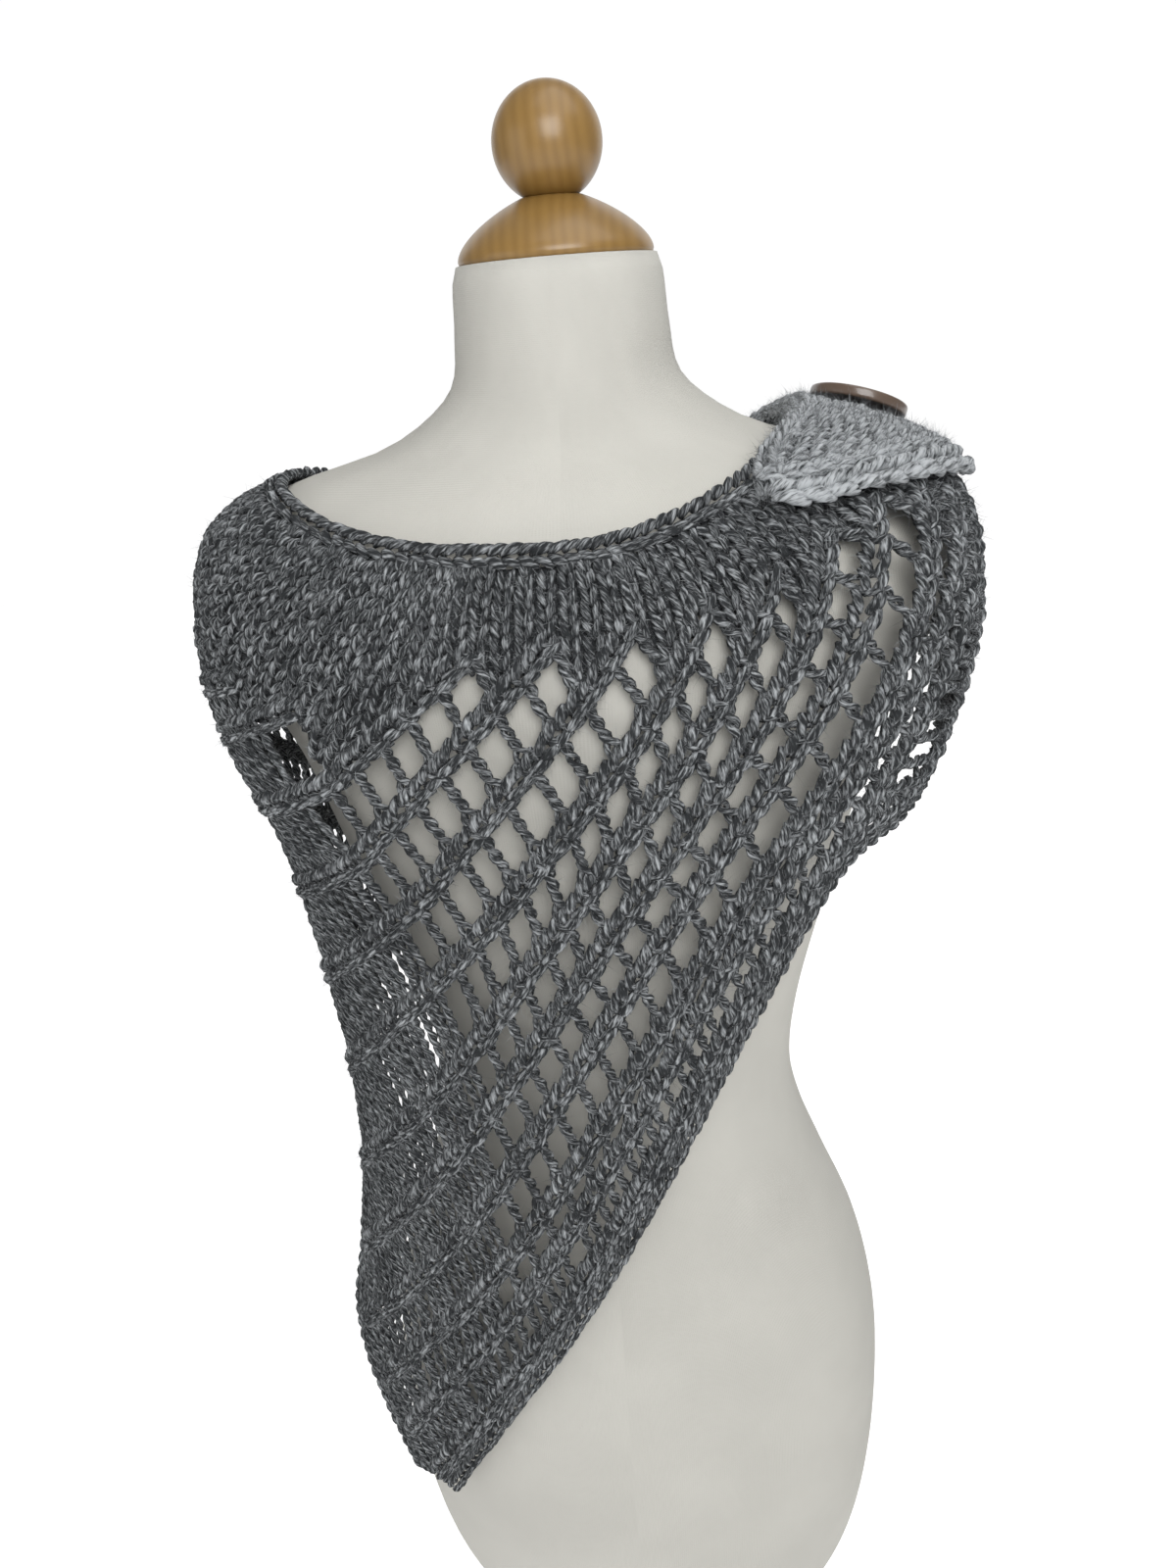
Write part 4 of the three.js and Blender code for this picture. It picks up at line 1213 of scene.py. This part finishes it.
def add_turned(piece, verts, around, along):
    """Closes a stack of rings into a solid. around and along give the places on the surface in mm."""
    rings, sides = verts.shape[:2]
    r = np.arange(rings - 1)[:, None]
    i = np.arange(sides)[None, :]
    nxt = (i + 1) % sides
    quads = np.stack([r * sides + i, r * sides + nxt, (r + 1) * sides + nxt, (r + 1) * sides + i], -1)
    u = np.asarray(around) / UV_LENGTH
    v = np.asarray(along) / UV_LENGTH
    u_low = np.broadcast_to(u[:-1], (rings - 1, sides))
    u_high = np.broadcast_to(u[1:], (rings - 1, sides))
    v_low = np.broadcast_to(v[:-1, None], u_low.shape)
    v_high = np.broadcast_to(v[1:, None], u_low.shape)
    uv = corner_places(u_low, u_high, v_low, v_high)
    bottom = np.arange(sides)[None, ::-1]
    top = np.arange(sides)[None, :] + (rings - 1) * sides
    flat = verts[..., :2] / UV_LENGTH
    piece.add(verts, [quads.reshape(-1, 4), bottom, top], [uv.reshape(-1, 4, 2), flat[0][::-1], flat[-1]])


def turned(profile, centre, sides=TURNED_SIDES, radial=False):
    """A turned solid from a profile of (radius, height)."""
    radius, height = np.array(profile, float).T
    radius = np.maximum(radius, 0.02)
    angle = 2 * math.pi * np.arange(sides) / sides
    verts = np.stack([radius[:, None] * np.cos(angle), radius[:, None] * np.sin(angle),
                      np.broadcast_to(height[:, None], (len(height), sides))], -1)
    piece = Piece()
    run = np.concatenate([[0], np.cumsum(np.hypot(np.diff(radius), np.diff(height)))])
    if radial:
        across = radius[:, None]
        add_turned(piece, verts + centre, np.zeros(sides + 1), run)
        piece.uvs[0] = np.stack([np.repeat(across / UV_LENGTH, sides, 1)] * 2, -1)[
            np.arange(len(radius) - 1)].repeat(4, axis=1).reshape(-1, 2)
    else:
        add_turned(piece, verts + centre, np.linspace(0, 2 * math.pi * radius.max(), sides + 1), run)
    return piece


def rounded(profile, steps=5, size=1.2):
    """Rounds the corners of a profile of (radius, height)."""
    points = [np.array(p, float) for p in profile]
    out = [points[0]]
    for before, corner, after in zip(points[:-2], points[1:-1], points[2:]):
        reach_in = min(size, np.linalg.norm(corner - before) / 2)
        reach_out = min(size, np.linalg.norm(after - corner) / 2)
        start = corner + unit(before - corner) * reach_in
        end = corner + unit(after - corner) * reach_out
        for t in np.linspace(0, 1, steps):
            out.append((1 - t) ** 2 * start + 2 * t * (1 - t) * corner + t**2 * end)
    out.append(points[-1])
    return out


def cap_profile():
    dome = [(CAP_RADIUS, CAP_EDGE)]
    for angle in np.linspace(0, math.pi / 2, 25)[1:-1]:
        full = mix(1 - math.cos(angle), math.sin(angle), CAP_FULLNESS)
        reach = mix(CAP_TOP_RADIUS, CAP_RADIUS, math.cos(angle))
        dome.append((reach, mix(CAP_EDGE, CAP_HEIGHT, full)))
    foot = rounded([(0, 0), (CAP_RADIUS - CAP_UNDERCUT, 0), (CAP_RADIUS, CAP_EDGE)], size=CORNER_SIZE)[:-1]
    top = [(CAP_TOP_RADIUS, CAP_HEIGHT), (0, CAP_HEIGHT)]
    return [tuple(p) for p in foot] + dome + top


def ball_profile():
    start = math.asin(BALL_SEAT / BALL_RADIUS)
    low = BALL_RADIUS * math.cos(start)
    angles = np.linspace(start, math.pi, 48)
    return [(0, 0)] + [(BALL_RADIUS * math.sin(a), low - BALL_RADIUS * math.cos(a)) for a in angles]


def button_profile():
    edge = BUTTON_THICK / 2
    inner = BUTTON_RADIUS - BUTTON_RIM
    outline = [
        (0, -edge), (BUTTON_RADIUS, -edge), (BUTTON_RADIUS, edge), (inner, edge),
        (inner - BUTTON_DISH, edge - BUTTON_DISH), (0, edge - BUTTON_DISH),
    ]
    return [tuple(p) for p in rounded(outline, size=BUTTON_ROUNDING)]


# The flap over the shoulder


def flap_lift(w):
    return FLAP_LIFT * smoothstep((FLAP_END - w) / (FLAP_END - FLAP_LIFT_START))


def flap_line(across, count=30):
    """A line along the flap, across is 0 on its outer side and 1 on its inner side."""
    rows = values(FLAP, "inner_w", "inner_u", "outer_w", "outer_u")
    inner_w, inner_u, outer_w, outer_u = smooth_row(
        np.arange(len(FLAP), dtype=float), rows, np.linspace(0, len(FLAP) - 1, count)
    ).T
    w = np.minimum(mix(outer_w, inner_w, across), FLAP_END - SEAM_GAP)
    return np.stack([w, mix(outer_u, inner_u, across)], axis=1)


def flap_end_line(back):
    first = FLAP[0]
    inner = np.array([first["inner_w"], first["inner_u"]], float)
    outer = np.array([first["outer_w"], first["outer_u"]], float)
    run = np.linalg.norm(inner - outer)
    away = np.array([inner[1] - outer[1], outer[0] - inner[0]]) / run
    t = np.linspace(0, 1, 20)[:, None]
    return mix(inner, outer, t) - away * back


def add_column(piece, line, tall, width, lift, radius, draw, raised=None, sides=SIDES, rings=8):
    centres, along = column_of_stitches(np.asarray(line, float), tall)
    extra = None if raised is None else raised(centres[:, 0])
    add_stitches(piece, centres, along, width, tall, lift, radius, draw, sides, rings, extra)


# Operators


def finished(piece, name, material, *replaced):
    return piece.make(name, material, "yarn", replaced)


def take_settings():
    """Takes the sizes that a user may have changed."""
    settings = bpy.context.scene.shawl_yarn
    YARN.radius = settings.radius / MM
    YARN.stitch_width = settings.stitch_width / MM
    YARN.stitch_height = settings.stitch_height / MM


class SHAWL_OT_yokes(bpy.types.Operator):
    """Plain knitting of the back and the front, with the wall behind it"""

    bl_idname = "shawl.yokes"
    bl_label = "Plain knitting"

    def execute(self, context):
        draw = np.random.default_rng(SEED)
        take_settings()
        for side, outline, sides, rings in (
            ("back", back_yoke_outline(), SIDES, 8),
            ("front", front_yoke_outline(), 6, 6),
        ):
            stitches = Piece()
            plain_stitches(stitches, outline, draw, sides, rings)
            ground = Piece()
            flat = add_ground(ground, outline)
            wall = finished(ground, f"yoke_{side}_wall", shaded_ground_material(), f"yoke_{side}")
            knit = finished(stitches, f"yoke_{side}_stitches", knit_material(), f"yoke_{side}")
            loose = add_loose(stitches, f"yoke_{side}_fibres", 18000 if side == "back" else 8000, draw)
        return {"FINISHED"}


def add_loose(piece, name, count, draw):
    fibres = Piece()
    add_fuzz(fibres, piece, count, draw)
    return finished(fibres, name, fibre_material())


class SHAWL_OT_lace(bpy.types.Operator):
    """Ribs and twisted bars of the ladder lace"""

    bl_idname = "shawl.lace"
    bl_label = "Ladder lace"

    def execute(self, context):
        draw = np.random.default_rng(SEED + 1)
        take_settings()
        for name, first, last, low, high, sides, rings, fibres in (
            ("lace_back", 0, LAST_RIB, -99, 0, SIDES, 8, 20000),
            ("lace_side", 0, LAST_BACK_RIB, 0, EDGE_COLUMN, SIDES, 7, 12000),
            ("lace_front", FIRST_RIB, 0, 0, EDGE_COLUMN, 6, 6, 5000),
        ):
            ribs = Piece()
            bottom = last if name != "lace_front" else last - 1
            add_ribs(ribs, rib_lines(first, bottom, low, high), draw, sides, rings)
            if name == "lace_back":
                for outline in back_end_outlines():
                    plain_stitches(ribs, outline, draw)
            bars = Piece()
            starts, ends, slim = bar_ends(first, last - 1, low + (1 if name != "lace_back" else 0), high)
            add_strand_pairs(bars, starts, ends, slim, draw, 6, 20)
            rib_piece = finished(ribs, f"{name}_ribs", knit_material(), name)
            bar_piece = finished(bars, f"{name}_bars", knit_material(), name)
            loose = add_loose(ribs, f"{name}_fibres", fibres, draw)
            bar_loose = add_loose(bars, f"{name}_bar_fibres", fibres // 2, draw)
            outline = region(first, last, low, high)
        return {"FINISHED"}


class SHAWL_OT_edges(bpy.types.Operator):
    """Chain edge along the neckline and the narrow border of the hem"""

    bl_idname = "shawl.edges"
    bl_label = "Edges"

    def execute(self, context):
        draw = np.random.default_rng(SEED + 2)
        take_settings()
        split = node(-1, first_column(-1))[0]
        for side, start, end in (("back", split, BACK_END), ("front", STRAP_END, split)):
            w = np.linspace(start, end, 200)
            chain = Piece()
            u = CLOTH.neckline(w) - NECK_EDGE_HEIGHT / 2 + EDGE_RISE
            spread = np.ones(2 * EDGE_SMOOTHING + 1) / (2 * EDGE_SMOOTHING + 1)
            line = np.stack([w, np.convolve(np.pad(u, EDGE_SMOOTHING, "edge"), spread, "valid")], 1)
            add_column(chain, line, EDGE_STITCH, EDGE_WIDTH, EDGE_LIFT, EDGE_RADIUS, draw)
            finished(chain, f"neck_edging_{side}_chain", knit_material(), f"neck_edging_{side}")
        hem = [node(LAST_BACK_RIB, c) for c in range(EDGE_COLUMN, HEM_LEAVES_RIB_AT - 1, -1)]
        hem += [RIBS[LAST_BACK_RIB + 1][1][-1], RIBS[LAST_RIB][1][-1], (BACK_END, BACK_END_LOW)]
        edge = [node(k, EDGE_COLUMN) for k in range(LAST_BACK_RIB, FIRST_RIB - 1, -1)]
        edge += [(mix(edge[-1][0], STRAP_END, 0.5), STRAP_LOW), (STRAP_END, STRAP_LOW)]
        for side, line, hand in (("back", hem, -1), ("front", edge, 1)):
            border = Piece()
            smooth = softened(np.array(line, float))
            along = unit(np.gradient(smooth, axis=0))
            away = np.stack([-along[:, 1], along[:, 0]], axis=1) * hand
            for column in range(HEM_COLUMNS):
                reach = HEM_GAP + HEM_WIDTH * (column + 0.5) / HEM_COLUMNS
                add_column(border, smooth + away * reach, HEM_STITCH, HEM_STITCH_WIDTH,
                           HEM_LIFT, HEM_RADIUS, draw, rings=7)
            finished(border, f"hem_border_{side}_stitches", knit_material(), f"hem_border_{side}")
        return {"FINISHED"}


class FlapSizes:
    """Sizes of the flap's rows of bumps and of the columns along its edges, in millimetres."""

    bump = 8.4
    row = 4.3
    overlap = 0.56
    reach_back = 20
    reach = 260
    depth = 190
    shift_shake = 0.4
    shake = 0.3
    lift = 0.5
    radius = 2.0
    side = dict(tall=7.6, width=8, lift=0.8, radius=2.1)
    end = dict(tall=8, width=9, lift=1.4, radius=2.3)
    rope = dict(tall=10.5, width=15, lift=2.0, radius=3.5)
    end_back = -8
    rope_back = 5


FLAP_SIZES = FlapSizes()


class SHAWL_OT_flap(bpy.types.Operator):
    """End of the shawl over the right shoulder, with its rope edges"""

    bl_idname = "shawl.flap"
    bl_label = "Shoulder flap"

    def execute(self, context):
        draw = np.random.default_rng(SEED + 3)
        take_settings()
        outline = np.vstack([flap_line(0.02), flap_line(0.98)[::-1]])
        ground = Piece()
        flat = add_ground(ground, outline, flap_lift)
        wall = finished(ground, "shoulder_flap_wall", shaded_ground_material(), "shoulder_flap")
        bumps = Piece()
        end = flap_end_line(0)
        row = unit(end[-1] - end[0])
        rise = np.array([-row[1], row[0]])
        sizes = FLAP_SIZES
        along_row = np.arange(-sizes.reach_back, sizes.reach, sizes.bump)
        place_row, place_rise = np.meshgrid(along_row, np.arange(0, sizes.depth, sizes.row))
        shift = (np.arange(place_row.shape[0]) % 2)[:, None] * sizes.bump / 2
        shift = shift + draw.normal(0, sizes.shift_shake, place_row.shape)
        spots = end[0] + (place_row + shift)[..., None] * row + place_rise[..., None] * rise
        spots = spots[inside(outline, spots[..., 0], spots[..., 1])]
        reach = row * sizes.bump * sizes.overlap
        feet = spots - reach + draw.normal(0, sizes.shake, spots.shape)
        tips = spots + reach + draw.normal(0, sizes.shake, spots.shape)
        raised = flap_lift(spots[:, 0]) + draw.normal(0, sizes.shake, len(spots))
        add_leaves(bumps, feet, tips, sizes.lift, sizes.radius, draw, raised=raised)
        for across, lifted in ((0.03, 1), (0.97, 1), (1.02, 0.25), (1.02, 0.6)):
            add_column(bumps, flap_line(across), draw=draw, raised=lambda w: flap_lift(w) * lifted,
                       **sizes.side)
        add_column(bumps, flap_end_line(sizes.end_back), draw=draw, raised=flap_lift, **sizes.end)
        knit = finished(bumps, "shoulder_flap_stitches", brushed_and_lit_material(), "shoulder_flap")
        rope = Piece()
        add_column(rope, flap_end_line(sizes.rope_back), draw=draw, raised=flap_lift, **sizes.rope)
        edge = finished(rope, "flap_edging_rope", brushed_and_lit_material(), "flap_edging")
        loose = add_loose(bumps, "shoulder_flap_fibres", 26000, draw)
        return {"FINISHED"}


class SHAWL_OT_form(bpy.types.Operator):
    """Dress form with its jersey cover, wooden cap and ball"""

    bl_idname = "shawl.form"
    bl_label = "Dress form"

    def execute(self, context):
        torso = Piece()
        form_mesh(torso)
        torso.make("form_torso_cover", jersey_material(), "form_jersey", ["form_torso"])
        wood = wood_material()
        neck_top = FORM_SECTIONS[-1]["height"]
        for name, profile, height in (
            ("neck_cap", cap_profile(), neck_top),
            ("cap_ball", ball_profile(), neck_top + CAP_HEIGHT),
        ):
            centre = np.array([0, NECK_CENTRE_FORWARD, height])
            turned(profile, centre).make(f"{name}_turned", wood, "turned_wood", [name])
        return {"FINISHED"}


class SHAWL_OT_button(bpy.types.Operator):
    """Large button on the flap"""

    bl_idname = "shawl.button"
    bl_label = "Button"

    def execute(self, context):
        seat, up = CLOTH.worn(np.array([BUTTON_W], float), np.array([BUTTON_U], float), BUTTON_SEAT)
        piece = turned(button_profile(), np.zeros(3), BUTTON_SIDES, radial=True)
        turn = np.array(Vector((0, 0, 1)).rotation_difference(Vector(up[0])).to_matrix())
        piece.verts = [verts @ turn.T + seat[0] for verts in piece.verts]
        piece.make("button_turned", button_material(), "button", ["button"])
        return {"FINISHED"}


# Name, place and size in metres, and the setting with its power, of each light
LIGHTS = (
    ("main_light", (0.35, -1.3, 1.5), 0.9, "key_power"),
    ("fill_light", (-1.5, -0.9, 1.1), 1.2, "fill_power"),
    ("top_light", (0.45, -0.25, 2.1), 1.3, "top_power"),
)
LIGHT_AIM = Vector((0, 0, 0.55))
CAMERA_FORWARD = (-0.0887, 0.9249, -0.3697)
CAMERA_ROLL = 4.7
FLOOR_SIZE = 8
BACKDROP_AWAY = 3.9
FLOOR_GREY = 0.55
FLOOR_GLOW = 0.8


def stage_plane(name, material_name, grey, glow, **place):
    """A plane of the stage, out of the part itself."""
    bpy.ops.mesh.primitive_plane_add(size=FLOOR_SIZE, **place)
    plane = bpy.context.object
    plane.name = name
    material, _, shader = new_material(material_name, 0.9)
    shader.inputs["Base Color"].default_value = (grey, grey, grey, 1)
    shader.inputs["Emission Color"].default_value = (1, 1, 1, 1)
    shader.inputs["Emission Strength"].default_value = glow
    plane.data.materials.append(material)
    return plane


class SHAWL_OT_stage(bpy.types.Operator):
    """Floor, lights and camera"""

    bl_idname = "shawl.stage"
    bl_label = "Stage"

    def execute(self, context):
        settings = context.scene.shawl_stage
        floor = stage_plane("floor", "pale_floor", FLOOR_GREY, FLOOR_GLOW, location=(0, 0, 0))
        backdrop = stage_plane("backdrop", "white_backdrop", 0, 1, location=(0, BACKDROP_AWAY, 0),
                               rotation=(math.pi / 2, 0, 0))
        world = context.scene.world or bpy.data.worlds.new("soft light")
        context.scene.world = world
        world.use_nodes = True
        back = world.node_tree.nodes["Background"]
        back.inputs["Color"].default_value = (1, 1, 1, 1)
        back.inputs["Strength"].default_value = settings.sky
        for name, place, size, power in LIGHTS:
            light = bpy.data.lights.new(name, "AREA")
            light.energy = getattr(settings, power)
            light.size = size
            lamp = bpy.data.objects.new(name, light)
            lamp.location = place
            lamp.rotation_euler = (LIGHT_AIM - Vector(place)).to_track_quat("-Z", "Y").to_euler()
            context.scene.collection.objects.link(lamp)
        camera_data = bpy.data.cameras.new("camera")
        camera_data.sensor_fit = "VERTICAL"
        camera_data.sensor_height = 36
        camera_data.lens = settings.lens
        camera_data.clip_start = 0.05
        camera = bpy.data.objects.new("camera", camera_data)
        context.scene.collection.objects.link(camera)
        forward = Vector(CAMERA_FORWARD).normalized()
        level = forward.cross(Vector((0, 0, 1))).normalized()
        upright = level.cross(forward)
        roll = math.radians(CAMERA_ROLL)
        right = level * math.cos(roll) - upright * math.sin(roll)
        up = level * math.sin(roll) + upright * math.cos(roll)
        turn = Matrix((right, up, -forward)).transposed().to_4x4()
        camera.matrix_world = Matrix.Translation(settings.camera_place) @ turn
        context.scene.camera = camera
        context.scene.view_settings.view_transform = "Standard"
        return {"FINISHED"}


STEPS = (
    SHAWL_OT_form, SHAWL_OT_yokes, SHAWL_OT_lace, SHAWL_OT_edges, SHAWL_OT_flap,
    SHAWL_OT_button, SHAWL_OT_stage,
)
GROUPS = {"shawl_yarn": ShawlYarn, "shawl_form": ShawlForm, "shawl_stage": ShawlStage}


class SHAWL_PT_panel(bpy.types.Panel):
    """The steps that make the shawl"""

    bl_idname = "SHAWL_PT_panel"
    bl_label = "Lace shawl"
    bl_space_type = "VIEW_3D"
    bl_region_type = "UI"
    bl_category = "Lace shawl"

    def draw(self, context):
        for step in STEPS:
            self.layout.operator(step.bl_idname)
        for name, group in GROUPS.items():
            box = self.layout.box()
            for prop in group.__annotations__:
                box.prop(getattr(context.scene, name), prop)


def register():
    for group in GROUPS.values():
        bpy.utils.register_class(group)
    for name, group in GROUPS.items():
        setattr(bpy.types.Scene, name, bpy.props.PointerProperty(type=group))
    for step in STEPS:
        bpy.utils.register_class(step)
    bpy.utils.register_class(SHAWL_PT_panel)


def unregister():
    bpy.utils.unregister_class(SHAWL_PT_panel)
    for step in reversed(STEPS):
        bpy.utils.unregister_class(step)
    for name, group in GROUPS.items():
        delattr(bpy.types.Scene, name)
        bpy.utils.unregister_class(group)


def main():
    register()
    for step in STEPS:
        family, name = step.bl_idname.split(".")
        getattr(getattr(bpy.ops, family), name)()


if __name__ == "__main__":
    main()
